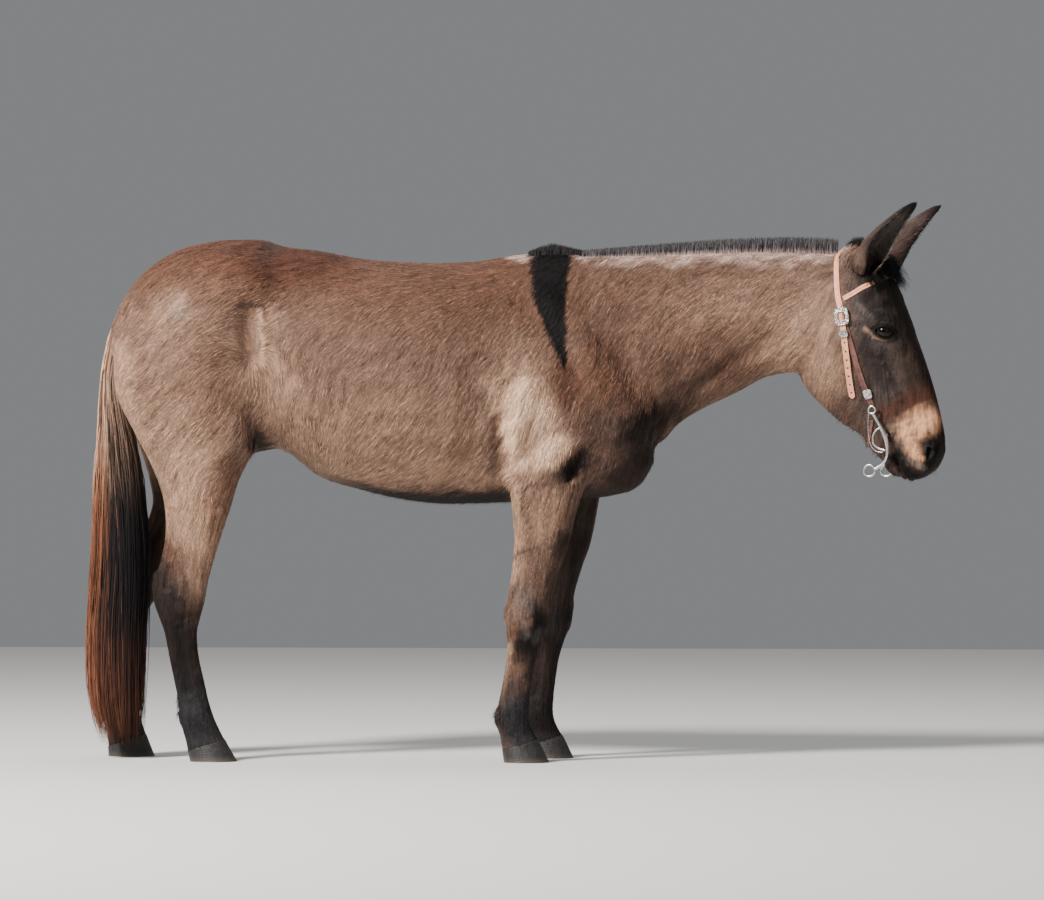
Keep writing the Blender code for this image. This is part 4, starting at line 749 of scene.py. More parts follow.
for side in (-1, 1):
    centre, looks = eye_centre(side), eye_axes(side)[0]
    near = [vert for vert in bm.verts
            if (vert.co - centre).length < 0.042 and (vert.co - centre).dot(looks) > 0.004]
    bmesh.ops.triangulate(bm, faces=each_once(face for vert in near for face in vert.link_faces))
    spots = lid_spot([vert.co for vert in near], side)
    place = {vert: (a, b, f - 1) for vert, a, b, _, f in zip(near, *spots)}
    for edge in each_once(edge for vert in near for edge in vert.link_edges):
        one, two = edge.verts
        if one in place and two in place and place[one][2] * place[two][2] < 0:
            moved = one if abs(place[one][2]) < abs(place[two][2]) else two
            a, b, off = place[moved]
            a, b = a / (off + 1), b / (off + 1)
            moved.co = lid_place(a, b, (moved.co - centre).length, side)
            place[moved] = (a, b, 0.0)
    inside = []
    for face in each_once(face for vert in near for face in vert.link_faces):
        if all(vert in place and place[vert][2] <= 0 for vert in face.verts):
            if lid_spot([face.calc_center_median()], side)[3][0] < 1:
                inside.append(face)
    bmesh.ops.delete(bm, geom=inside, context="FACES")
    rim = [edge for vert, spot in place.items() if vert.is_valid and spot[2] == 0 for edge in vert.link_edges]
    rim = [edge for edge in each_once(rim) if edge.is_boundary]
    for shrink, stand_off in LID_MARGIN:
        made = bmesh.ops.extrude_edge_only(bm, edges=rim)["geom"]
        rim = [item for item in made if isinstance(item, bmesh.types.BMEdge) and item.is_boundary]
        for vert in each_once(vert for edge in rim for vert in edge.verts):
            a, b, _, f = (float(value[0]) for value in lid_spot([vert.co], side))
            vert.co = lid_place(a / f * shrink, b / f * shrink, EYE_RADIUS + stand_off, side)
    bmesh.ops.holes_fill(bm, edges=rim, sides=0)


def cut_flat(bm, place, way, keep):
    """Cuts the mesh at a plane and keeps the part on this side of it: ahead or behind."""
    everything = bm.verts[:] + bm.edges[:] + bm.faces[:]
    bmesh.ops.bisect_plane(bm, geom=everything, plane_co=place, plane_no=way, clear_outer=keep == "behind",
                           clear_inner=keep == "ahead")


def close_holes(bm):
    """Fills every open edge of the mesh with a face."""
    bmesh.ops.holes_fill(bm, edges=[edge for edge in bm.edges if edge.is_boundary], sides=0)


# The skin ends inside the hooves.
cut_flat(bm, (0, 0, HOOF_CUT_HEIGHT), (0, 0, 1), "ahead")
close_holes(bm)
bmesh.ops.triangulate(bm, faces=bm.faces)
face_outwards(bm)
bm.to_mesh(skin.data)
bm.free()
skin.data.shade_smooth()

# The unwrap of the finished skin, where every tuft of the coat later takes its patch.
bpy.context.view_layer.objects.active = skin
skin.select_set(True)
skin.data.uv_layers.new(name="OFBake")
bpy.ops.object.mode_set(mode="EDIT")
bpy.ops.mesh.select_all(action="SELECT")
bpy.ops.uv.smart_project(angle_limit=1.15, island_margin=0.001)
bpy.ops.object.mode_set(mode="OBJECT")
skin.select_set(False)

# The coat's colours. A bay mule is red-brown along the back and sandy on the flanks, with a
# black shoulder stripe, dark legs and face, and a mealy muzzle. Each marking is a soft patch.
# Some patches are painted light: painted shade in creases, grooves, hollows and pockets, on the chest
# and inside the legs, and painted highlights and sheen on the triceps, knees, pasterns and brow.
COAT_TONES = {
    "brown": (0.172, 0.099, 0.07),
    "redback": (0.132, 0.061, 0.038),
    "rust": (0.082, 0.03, 0.018),
    "sand": (0.265, 0.155, 0.106),
    "fawn": (0.35, 0.21, 0.142),
    "pale": (0.49, 0.295, 0.195),
    "straw": (0.8, 0.5, 0.34),
    "tan": (0.9, 0.455, 0.255),
    "umber": (0.072, 0.042, 0.033),
    "slate": (0.058, 0.044, 0.041),
    "dark": (0.014, 0.0095, 0.0085),
    "black": (0.0035, 0.0028, 0.0028),
    # Black hair of the lower legs, lifted to grey by a painted sheen.
    "soot": (0.021, 0.02, 0.023),
    # Grey is used, among other places, for painted sheen highlights on the knees, the brow and the upper lid.
    "grey": (0.12, 0.1, 0.09),
    "pink": (0.62, 0.44, 0.375),
}
# Markings of the trunk and legs, with painted shade and highlights among them, seen from the side: from x, z,
# to x, z, reach, strength, tone
BODY_MARKS_AND_PAINTED_LIGHT = metres((
    (-1000, 1520, 0, 1500, 320, 1, "redback"), (240, 1300, 500, 1300, 300, 0.45, "redback"),
    (480, 1300, 800, 1340, 140, 0.55, "sand"), (-980, 1200, -940, 1060, 280, 0.65, "sand"),
    (-1020, 1440, -800, 1420, 160, 0.75, "redback"), (-990, 1290, -960, 1320, 70, 0.45, "fawn"),
    (-760, 1430, -540, 1420, 90, 0.6, "rust"), (-840, 1140, -900, 980, 140, 0.35, "redback"),
    (-920, 900, -920, 700, 220, 0.85, "fawn"), (-920, 840, -900, 680, 120, 0.4, "pale"),
    (-1135, 1180, -1060, 840, 70, 0.75, "pale"), (-690, 1280, -680, 1120, 75, 0.4, "pale"),
    (-704, 1300, -706, 1140, 11, 0.6, "straw"), (-700, 1100, -640, 1000, 120, 0.55, "fawn"),
    (-550, 920, 0, 920, 200, 0.9, "sand"), (-550, 830, 0, 810, 80, 0.75, "fawn"),
    (-690, 1500, -520, 1480, 140, 0.85, "rust"), (-705, 1485, -690, 1475, 45, 0.7, "umber"),
    # The umber line from (-750, 1290) and the umber lines from (-764, 1312) to (-704, 1310) are painted shade
    # in the hollow and crease before the hip.
    (-1000, 1570, -700, 1570, 140, 0.65, "rust"), (-750, 1290, -748, 1170, 30, 0.12, "umber"),
    (-764, 1312, -742, 1322, 13, 0.95, "umber"), (-742, 1322, -704, 1310, 12, 0.95, "umber"),
    (-800, 940, -790, 850, 50, 0.45, "umber"), (-800, 850, -850, 680, 55, 0.6, "redback"),
    # The thin umber lines down the shoulder are painted shade in its grooves.
    (255, 1330, 270, 1100, 22, 0.35, "umber"), (315, 1310, 330, 1020, 26, 0.35, "umber"),
    (385, 1240, 395, 1040, 22, 0.35, "umber"), (205, 1220, 200, 950, 20, 0.3, "umber"),
    (-450, 1300, 50, 1300, 180, 0.35, "redback"), (20, 1180, 60, 1050, 120, 0.6, "sand"),
    # The umber line at x -30 is painted shade in the groove behind the triceps, and the pale and straw
    # patches are a painted highlight on the triceps' bulge.
    (-30, 1020, -35, 860, 60, 0.5, "umber"), (40, 1060, 90, 910, 125, 0.9, "pale"),
    (60, 1020, 100, 920, 110, 0.9, "straw"), (24, 1020, 20, 860, 50, 0.85, "straw"),
    # The umber and dark lines from (5, 768) to (170, 812), and the umber line above them, are painted shade
    # in the fold where the forearm begins.
    (90, 832, 170, 840, 26, 0.65, "umber"), (5, 768, 75, 796, 12, 0.75, "umber"),
    (75, 796, 170, 812, 12, 0.8, "dark"), (240, 1100, 360, 960, 160, 0.85, "redback"),
    # The dark and black patches under the elbow are painted shade in its pocket.
    (212, 880, 160, 826, 46, 0.95, "dark"), (208, 868, 190, 838, 44, 0.95, "black"),
    # The umber and dark patches on the chest are painted shade over its darker brown, and the umber and rust
    # line up the neck is painted shade in the jugular groove.
    (290, 950, 400, 880, 150, 0.9, "umber"), (355, 955, 465, 1015, 70, 0.92, "dark"),
    (320, 830, 420, 900, 90, 0.8, "dark"), (470, 1040, 600, 1130, 50, 0.65, "umber"),
    (600, 1130, 760, 1200, 60, 0.45, "rust"), (780, 1200, 900, 1260, 150, 0.85, "fawn"),
    (240, 1490, 920, 1494, 70, 0.9, "pink"), (0, 1462, 35, 1464, 26, 0.75, "pink"),
    # The black line along the belly is its dark hair with the painted shade of the underside.
    (158, 1170, 162, 1050, 36, 0.6, "rust"), (-410, 742, 30, 740, 76, 1, "black"),
    # The umber and dark patches before the stifle are painted shade in the fold of the flank.
    (-738, 985, -728, 940, 30, 0.7, "umber"), (-728, 925, -712, 885, 40, 0.95, "dark"),
    (-1100, 660, -1050, 540, 75, 0.75, "umber"), (-980, 550, -980, 460, 130, 0.75, "umber"),
    (-900, 560, -900, 500, 55, 0.8, "sand"), (-1030, 580, -1000, 440, 85, 0.85, "dark"),
    (-985, 620, -960, 560, 35, 0.6, "redback"), (-980, 360, -970, 60, 220, 0.95, "dark"),
    (-900, 150, -900, 20, 180, 0.97, "soot"), (90, 740, 70, 600, 120, 0.7, "sand"),
    (15, 780, 6, 540, 32, 0.65, "pale"), (210, 740, 165, 560, 50, 0.85, "umber"),
    # The dark line from (5, 594) to (85, 622) is painted shade in a groove across the forearm.
    (5, 594, 85, 622, 14, 0.65, "dark"), (160, 640, 125, 480, 50, 0.75, "dark"),
    # The grey marks on the knee, here and below, are painted sheen highlights on its dark hair.
    (110, 560, 90, 460, 100, 0.6, "umber"), (30, 490, 60, 440, 45, 0.55, "grey"),
    (40, 330, 20, 180, 100, 0.85, "redback"), (0, 330, -12, 200, 50, 0.8, "brown"),
    (98, 350, 60, 150, 48, 0.92, "black"), (88, 420, 52, 335, 72, 1, "dark"),
    (84, 400, 60, 345, 45, 0.8, "black"), (40, 420, 52, 375, 18, 0.5, "grey"),
    (86, 385, 74, 350, 14, 0.45, "grey"), (-18, 330, -40, 190, 30, 0.7, "pale"),
    (15, 135, 40, 70, 60, 0.6, "black"), (-955, 380, -925, 220, 60, 0.6, "black"),
    (50, 140, 100, 20, 190, 0.98, "soot"),
), 5)
# The black stripe over the withers, as heights and its rear and front edges
STRIPE = metres((
    (1600, 40, 176), (1479, 51, 173), (1334, 68, 161), (1247, 106, 167), (1189, 135, 170), (1140, 158, 166),
    (1120, 166, 160),
))
STRIPE_EDGE = 0.007
# Painted shade on the inside of the legs: how far out it reaches, its soft edge, its top and its strength
INNER_LEG_SHADE = (0.138, 0.035, 0.88, 0.88)
# Markings of the head in its own frame, with painted sheen highlights and painted shade among them: from, to,
# reach, strength, tone
HEAD_MARKS_AND_PAINTED_LIGHT = metres((
    (130, 100, -120, 170, 70, -460, 170, 0.95, "slate"), (-30, 90, -160, -10, 90, -320, 130, 0.85, "fawn"),
    (200, 0, -60, 290, 0, -340, 130, 0.82, "dark"), (170, 30, -10, 230, 30, -160, 95, 0.5, "black"),
    (130, 90, -60, 160, 90, -160, 55, 0.7, "black"), (270, 30, -340, 300, 30, -380, 70, 0.4, "dark"),
    (0, 30, -440, 120, 30, -575, 50, 0.8, "umber"), (120, 30, -575, 190, 30, -640, 50, 0.9, "dark"),
    (120, 90, -250, 160, 90, -340, 60, 0.65, "dark"), (50, 90, -240, 110, 80, -380, 55, 0.55, "umber"),
    # Painted sheen highlights in grey along the brow and the upper lid.
    (94, 90, -126, 146, 95, -170, 11, 0.6, "grey"), (148, 100, -184, 196, 100, -176, 6, 0.35, "grey"),
    # The dark spot at (130, 95, -120) is painted shade in the hollow above the eye.
    (30, 60, -420, 120, 50, -520, 65, 0.65, "umber"), (130, 95, -120, 134, 95, -124, 26, 0.6, "dark"),
    (160, 60, -440, 300, 40, -375, 52, 0.85, "rust"), (119, 100, -197, 142, 100, -221, 10, 0.85, "fawn"),
    (142, 100, -221, 186, 95, -234, 7.5, 0.75, "fawn"), (186, 95, -235, 212, 85, -231, 7, 0.7, "fawn"),
    (185, 60, -480, 230, 55, -480, 36, 0.7, "sand"), (226, 60, -482, 322, 40, -444, 54, 1, "tan"),
    (275, 50, -480, 310, 45, -480, 50, 0.9, "tan"), (236, 60, -515, 268, 50, -575, 34, 1, "tan"),
    (176, 74, -344, 180, 74, -350, 20, 0.65, "dark"), (292, 48, -536, 300, 42, -595, 47, 1, "black"),
    (328, 40, -525, 325, 34, -600, 50, 1, "black"), (350, 5, -520, 340, 0, -610, 100, 1, "black"),
    (185, 40, -565, 260, 30, -640, 52, 1, "black"), (260, 30, -635, 330, 20, -625, 50, 1, "black"),
    (180, 55, -494, 231, 55, -560, 10, 0.7, "pale"), (231, 55, -569, 280, 45, -600, 14, 0.85, "grey"),
    (90, 70, -20, 110, 80, -50, 50, 0.7, "dark"),
), 7)
# How dark the ears are at the rim and tip, and their own grey inside
EAR_TONES = {"back": (0.086, 0.053, 0.043), "rim": (0.008, 0.006, 0.006), "inside": (0.11, 0.092, 0.082)}
LID_TONE = (0.012, 0.009, 0.009)
# How wide the dark margin of the upper and of the lower lid is, in sizes of the opening
LID_LINE = (1.75, 1.34)
# How far a marking's edge wanders
EDGE_WAVE = 0.014
SCAR_AND_HIGHLIGHT_WHITE = (0.72, 0.64, 0.6)
# An old scar grown over white on the withers, and a painted highlight on the rump: x, z, reach, strength
SCAR_AND_HIGHLIGHT_SPOTS = ((0.018, 1.383, 0.0065, 0.65), (-0.935, 1.302, 0.04, 0.14))


def ripple(points, size, seed, waves=4):
    """A soft irregular pattern over places, about -1 to 1, in patches of about this size."""
    rng = np.random.default_rng(seed)
    total = np.zeros(len(points))
    for _ in range(waves):
        way, bend = rng.normal(size=3), rng.normal(size=3)
        turns = 2 * math.pi / size / np.linalg.norm(way)
        total += np.sin(points @ way * turns + 1.6 * np.sin(points @ bend * turns * 0.6 + rng.uniform(0, 6)))
    return total / (1.3 * math.sqrt(waves))


def patch(gap, reach, rough):
    """How strongly a marking shows at this distance from its line, fading and ragged at its edge."""
    t = np.clip((reach + min(EDGE_WAVE, 0.3 * reach) * rough - gap) / (0.85 * reach), 0, 1)
    return t * t * (3 - 2 * t)


def blend(colour, tone, share):
    """Mixes a tone into the colours, in this share at each place."""
    colour += (np.array(tone) - colour) * share[:, None]


def lay_marks(colour, places, marks, rough, cover=1.0):
    """Lays soft markings, and painted shade and highlights, over the colours, each along its own line."""
    for *line, reach, strength, tone in marks:
        half = len(line) // 2
        share = strength * patch(gap_to(places, line[:half], line[half:]), reach, rough) * cover
        blend(colour, COAT_TONES[tone], share)


def ear_parts(spots):
    """For places in the head's frame with both sides alike: how far up an ear they lie, whether they
    are on one, where they lie round it, from -1 to 1 at its rims, and whether they are inside it."""
    axis = np.array(EAR_TIP - EAR_BASE)
    t = (spots - np.array(EAR_BASE)) @ axis / (axis @ axis)
    on_ear = np.clip((t - 0.1) / 0.16, 0, 1) * (gap_to(spots, EAR_BASE, EAR_TIP) < 0.062)
    around, inside = np.zeros((2, len(spots)))
    for i in np.flatnonzero(on_ear > 0):
        centre, radius, half_angle, tangent, opening = ear_axes(min(1.0, float(t[i])))
        away = Vector(spots[i]) - centre
        a, b = away.dot(tangent.cross(opening)) / EAR_FLATNESS, -away.dot(opening)
        around[i] = math.atan2(a, b) / half_angle
        inside[i] = math.hypot(a, b) < radius * (1 + 0.05 * abs(around[i]) ** 6) - 0.0028
    return t, on_ear, around, inside


MID_BODY = -0.35


def on_square_legs(points):
    """Places as they would be if the left legs stood like the right, with both sides alike."""
    places = points.copy()
    left = points[:, 1] > 0
    fore, hind = step_at(LEFT_FORE_STEP, points[:, 2]), step_at(LEFT_HIND_STEP, points[:, 2])
    places[left, 0] -= np.where(points[:, 0] > MID_BODY, fore, hind)[left]
    places[:, 1] = np.abs(places[:, 1])
    return places


def coat_colour(points):
    """The coat's colour at each place, with painted shade and highlights laid into it."""
    places = on_square_legs(points)
    rough = ripple(points, 0.055, 5) + 0.6 * ripple(points, 0.019, 6)
    colour = np.tile(COAT_TONES["brown"], (len(points), 1))
    flat = places[:, [0, 2]]
    lay_marks(colour, flat, BODY_MARKS_AND_PAINTED_LIGHT, rough)
    heights, rears, fronts = np.array(STRIPE)[::-1].T
    rear, front = (np.interp(places[:, 2], heights, edge) for edge in (rears, fronts))
    inside = np.minimum(places[:, 0] - rear, front - places[:, 0]) + 0.0025 * rough
    blend(colour, COAT_TONES["black"], np.clip(inside / STRIPE_EDGE + 0.5, 0, 1))
    # Painted shade on the inside of the legs.
    middle, soft, top, strength = INNER_LEG_SHADE
    inner = np.clip((middle - places[:, 1]) / soft, 0, 1) * np.clip((top - places[:, 2]) / 0.1, 0, 1)
    blend(colour, COAT_TONES["dark"], inner * strength)
    # A white scar on the withers and a painted highlight on the rump, on the right side only.
    for x, z, reach, strength in SCAR_AND_HIGHLIGHT_SPOTS:
        white = strength * patch(gap_to(flat, (x, z), (x, z)), reach, rough) * (points[:, 1] < 0)
        blend(colour, SCAR_AND_HIGHLIGHT_WHITE, white)
    spots = in_head(points)
    spots[:, 1] = np.abs(spots[:, 1])
    lay_marks(colour, spots, HEAD_MARKS_AND_PAINTED_LIGHT, rough * 0.6, np.clip((past_neck(points) + 0.02) / 0.05, 0, 1))
    t, on_ear, around, inside = ear_parts(spots)
    rim = np.maximum(patch(1 - np.abs(around), 0.2, 0.0), np.clip((t - 0.72) / 0.22, 0, 1)) * on_ear
    blend(colour, np.array(EAR_TONES["back"]) * (0.75 + 0.5 * np.clip(1 - t, 0, 1))[:, None], on_ear)
    blend(colour, EAR_TONES["inside"], 0.8 * on_ear * inside)
    blend(colour, EAR_TONES["rim"], 0.9 * rim)
    upper, lower = LID_LINE
    for side in (-1, 1):
        _, b, depth, f = lid_spot(points, side)
        near = (depth > 0) & (np.linalg.norm(points - np.array(eye_centre(side)), axis=1) < 0.045)
        blend(colour, LID_TONE, np.clip((np.where(b > 0, upper, lower) - f) / 0.24, 0, 1) * near)
    shade = 1 + 0.06 * ripple(points, 0.16, 7) + 0.05 * ripple(points, 0.045, 8)
    return np.clip(colour * shade[:, None], 0.0015, 0.9)


def paint(mesh, colour):
    """Keeps one colour for each point of the mesh as its coat attribute."""
    layer = mesh.color_attributes.new("coat", "FLOAT_COLOR", "POINT")
    rows = np.column_stack((colour, np.ones(len(colour))))
    layer.data.foreach_set("color", rows.astype(np.float32).ravel())


def add_nodes(material, nodes, joints):
    """Adds nodes to the material by name, each with its kind, input values and fields, and joins them.

    A joint names a node and its output, then the next node and its input."""
    tree = material.node_tree
    made = {"shader": tree.nodes["Principled BSDF"], "place": tree.nodes.new("ShaderNodeTexCoord")}
    for name, (kind, values, *fields) in nodes.items():
        made[name] = node = tree.nodes.new(f"ShaderNode{kind}")
        for field, value in fields:
            setattr(node, field, value)
        if kind == "ValToRGB":
            for element, (place, colour) in zip(node.color_ramp.elements, values):
                element.position = place
                element.color = (*colour, 1)
            continue
        for socket, value in values.items():
            node.inputs[socket].default_value = value
    for source, out, target, into in (joint.split(".") for joint in joints):
        tree.links.new(made[source].outputs[out], made[target].inputs[into])


def new_material(name, finish, nodes=None, joints=()):
    """A material with its shader's values set, and its pattern of nodes."""
    material = bpy.data.materials.new(name)
    material.use_nodes = True
    for socket, value in finish.items():
        material.node_tree.nodes["Principled BSDF"].inputs[socket].default_value = value
    if nodes:
        add_nodes(material, nodes, joints)
    return material


def hair_material(name, roughness, bump_depth):
    """Hair coloured by the coat attribute, broken by fine flecks, with a grain of bump."""
    return new_material(name, {
        "Roughness": roughness, "Specular IOR Level": 0.12, "Sheen Weight": 0.02, "Sheen Roughness": 0.45,
    }, {
        "coat": ("Attribute", {}, ("attribute_name", "coat")),
        "flecks": ("TexNoise", {"Scale": 420, "Detail": 3}),
        "spread": ("MapRange", {"From Min": 0.3, "From Max": 0.7, "To Min": 0.72, "To Max": 1.28}),
        "tint": ("VectorMath", {}, ("operation", "SCALE")),
        "bump": ("Bump", {"Strength": 0.5, "Distance": bump_depth}),
    }, (
        "place.Object.flecks.Vector", "flecks.Fac.spread.Value", "coat.Color.tint.Vector",
        "spread.Result.tint.Scale", "tint.Vector.shader.Base Color", "flecks.Fac.bump.Height",
        "bump.Normal.shader.Normal",
    ))


coat_hair = hair_material("coat_hair", 0.62, 0.0012)
skin.data.materials.clear()
skin.data.materials.append(coat_hair)
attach(skin, "root")
FLESH = ("head", "neck", "torso", "ear_right", "ear_left", "foreleg_right", "foreleg_left",
         "hindleg_right", "hindleg_left")
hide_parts(*FLESH)

# Hair that stands or hangs free. Every lock is a closed, tapered blade of three sides, and
# many are joined in one mesh. Each keeps a small patch of its own on the unwrap of the skin.
LOCK_PATCH = 0.0015


def unit(vectors):
    """Vectors of length one, row by row."""
    return vectors / np.maximum(np.linalg.norm(vectors, axis=-1, keepdims=True), 1e-9)


def each_level(rows, levels):
    """Each row repeated for every level of its lock."""
    return np.repeat(rows[:, None], levels, axis=1)


def make_locks(name, rings, tips, across, lift, width, depth, colour, spots, shade, soft, material):
    """Joins locks into one object. Rings are their middles from the root on, shade the way they are lit."""
    count, levels = rings.shape[:2]
    half = across * (width / 2)[..., None]
    crown = lift * depth[..., None]
    verts = np.stack((rings - half, rings + half, rings + crown), axis=2).reshape(count, levels * 3, 3)
    verts = np.concatenate((verts, tips[:, None]), axis=1)
    outward = np.stack((-across - 0.3 * lift, across - 0.3 * lift, lift), axis=2)
    outward = np.concatenate((outward.reshape(count, levels * 3, 3), lift[:, -1:]), axis=1)
    normals = unit(soft * shade[:, None] + (1 - soft) * unit(outward))
    faces = [(0, 2, 1)]
    for level in range(levels - 1):
        low, high = 3 * level, 3 * level + 3
        for one, two in ((0, 1), (1, 2), (2, 0)):
            faces += [(low + one, low + two, high + two), (low + one, high + two, high + one)]
    top = 3 * levels - 3
    faces += [(top, top + 1, top + 3), (top + 1, top + 2, top + 3), (top + 2, top, top + 3)]
    faces = np.array(faces)
    size = levels * 3 + 1
    corners = (faces[None] + (np.arange(count) * size)[:, None, None]).astype(np.int32).reshape(-1)
    mesh = bpy.data.meshes.new(name)
    mesh.vertices.add(count * size)
    mesh.vertices.foreach_set("co", verts.astype(np.float32).ravel())
    mesh.loops.add(len(corners))
    mesh.loops.foreach_set("vertex_index", corners)
    mesh.polygons.add(len(corners) // 3)
    mesh.polygons.foreach_set("loop_start", np.arange(0, len(corners), 3, dtype=np.int32))
    mesh.update(calc_edges=True)
    rise = np.append(np.repeat(np.linspace(-1, 0.6, levels), 3), 1.0)
    aside = np.append(np.tile((-1.0, 1.0, 0.0), levels), 0.0)
    places = spots[:, None] + LOCK_PATCH * np.stack((aside, rise), axis=1)[None]
    layer = mesh.uv_layers.new(name="OFBake")
    layer.data.foreach_set("uv", places.reshape(-1, 2)[corners].astype(np.float32).ravel())
    if colour.ndim == 2:
        colour = each_level(colour, size)
    paint(mesh, colour.reshape(-1, 3))
    mesh.shade_smooth()
    mesh.normals_split_custom_set_from_vertices(normals.reshape(-1, 3).tolist())
    mesh.materials.append(material)
    made = bpy.data.objects.new(name, mesh)
    bpy.context.scene.collection.objects.link(made)
    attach(made, "root")
    return made


def skin_patches(mesh):
    """The skin's triangles: corners, corner normals, and corners on its unwrap."""
    mesh.calc_loop_triangles()
    count = len(mesh.loop_triangles)
    verts, loops = np.empty((2, 3 * count), dtype=np.int32)
    mesh.loop_triangles.foreach_get("vertices", verts)
    mesh.loop_triangles.foreach_get("loops", loops)
    flat = np.empty(2 * len(mesh.loops))
    mesh.uv_layers["OFBake"].data.foreach_get("uv", flat)
    corners, normals = (rows[verts].reshape(-1, 3, 3) for rows in (points_of(mesh), normals_of(mesh)))
    return corners, normals, flat.reshape(-1, 2)[loops].reshape(-1, 3, 2)


skin_corners, skin_normals, skin_spots = skin_patches(skin.data)
skin_tree = BVHTree.FromPolygons(
    [tuple(point) for point in skin_corners.reshape(-1, 3)],
    [(i, i + 1, i + 2) for i in range(0, 3 * len(skin_corners), 3)],
)


def spots_near(places):
    """The places on the skin's unwrap that lie nearest to these points."""
    found = [skin_tree.find_nearest(Vector(place))[2] for place in places]
    return skin_spots[found].mean(axis=1)


# The mane is clipped short: stiff black hair that stands up along the crest, longest behind
# the ears, with a thicker tuft over the withers and paler hair at its roots.
# Along the neck: x and how high the mane stands
MANE_HEIGHT = metres((
    (30, 8), (55, 20), (85, 34), (120, 40), (160, 27), (200, 15), (320, 22), (450, 29), (600, 36),
    (800, 42), (925, 46),
))
MANE_ENDS = (0.045, 0.936)
WITHERS = [(-0.097, 1.45, 0.0), (0.004, 1.464, 0.0)]
MANE_HALF_WIDTH = 0.015
MANE_ROOT = 0.01
MANE_BLADES = 9500
MANE_BLACK = (0.01, 0.009, 0.01)
MANE_SHEEN_GREY = (0.15, 0.132, 0.142)


def crest_at(x):
    """The middle of the crest or withers at each x."""
    rows = np.array(WITHERS + [(row[0], row[1], row[5]) for row in NECK])
    return np.stack((x, np.interp(x, rows[:, 0], rows[:, 2]), np.interp(x, rows[:, 0], rows[:, 1])), axis=1)


chance = np.random.default_rng(11)
x = chance.uniform(*MANE_ENDS, MANE_BLADES)
aside = chance.uniform(-1, 1, MANE_BLADES)
height = np.interp(x, *np.array(MANE_HEIGHT).T) * chance.uniform(0.8, 1.0, MANE_BLADES)
height *= np.where(chance.random(MANE_BLADES) < 0.03, 1.07, 1) * (1 - 0.16 * aside**2)
root = crest_at(x) + np.stack((0 * x, aside * MANE_HALF_WIDTH, -MANE_ROOT - 0.006 * aside**2), axis=1)
lean_on = chance.normal(0.02, 0.09, MANE_BLADES)
lean_out = aside * 0.16 + chance.normal(0, 0.06, MANE_BLADES)
lean = np.stack((lean_on, lean_out, np.ones(MANE_BLADES)), axis=1)
reach = (height + MANE_ROOT)[:, None]
rings = np.stack((root, root + lean * reach * 0.5), axis=1)
turn = chance.normal(0, 0.5, MANE_BLADES)
across = np.stack((np.cos(turn), np.sin(turn), 0 * turn), axis=1)
lift = unit(np.cross(across, lean)) * np.where(aside > 0, -1, 1)[:, None]
across = np.where(aside[:, None] > 0, across, -across)
width = np.outer(chance.uniform(0.0018, 0.0034, MANE_BLADES), (1.0, 0.8))
# The grey share of each blade is painted sheen on the black hair.
grey = np.clip(chance.normal(0.34, 0.32, MANE_BLADES) * (x > 0.2), 0, 1)[:, None]
dark = np.array(MANE_BLACK) * (1 - grey) + np.array(MANE_SHEEN_GREY) * grey
pale = np.array(COAT_TONES["pink"]) * chance.uniform(0.3, 0.9, (MANE_BLADES, 1)) * (x > 0.17)[:, None]
low = np.maximum(dark, pale * (np.abs(aside) > 0.6)[:, None])
colour = np.concatenate((each_level(low, 3), each_level(dark, 4)), axis=1)
stiff_hair = hair_material("mane_hair", 0.5, 0.0004)
shade = unit(np.stack((0 * x, aside * 0.9, 0.6 + 0 * x), axis=1))
mane = make_locks("mane_hair", rings, root + lean * reach, each_level(across, 2), each_level(lift, 2), width,
                  0.35 * width, colour, spots_near(root), shade, 0.45, stiff_hair)
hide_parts("mane")

# The tail is carried low and hangs straight: long coarse hair from the dock, auburn and
# sun-bleached on its outer rear side, black within and in front, cut level above the ground.
# The tail's outline: minus the height, its rear edge, its front edge, half width
TAIL = metres((
    (-1310, -1130, -1085, 24), (-1265, -1176, -1124, 29), (-1204, -1192, -1138, 33),
    (-1116, -1208, -1147, 38), (-1044, -1214, -1130, 44), (-957, -1219, -1106, 50),
    (-870, -1225, -1086, 56), (-754, -1231, -1069, 61), (-638, -1237, -1060, 64), (-522, -1243, -1057, 66),
    (-406, -1251, -1063, 66), (-290, -1254, -1069, 65), (-174, -1248, -1072, 60), (-87, -1231, -1074, 52),
    (-23, -1202, -1083, 40),
))
TAIL_LEVELS = 9
# Tiers of hair: where their roots start and end, where their tips start and end, and how many
TAIL_TIERS = ((1.3, 1.19, 1.04, 0.62, 1500), (1.17, 0.96, 0.55, 0.12, 1100), (1.02, 0.76, 0.2, 0.026, 2100))
TAIL_AUBURN = (0.2, 0.07, 0.036)
TAIL_GINGER = (0.38, 0.15, 0.068)
TAIL_BLACK = (0.01, 0.008, 0.009)


def tail_place(height, along, across):
    """Places in the tail. Along runs from rear to front and across from right to left, each -1 to 1."""
    rows = np.array(TAIL)
    rear, front, half = (np.interp(-height, rows[:, 0], rows[:, k]) for k in (1, 2, 3))
    return np.stack(((rear + front) / 2 + along * (front - rear) / 2, across * half, height), axis=-1)


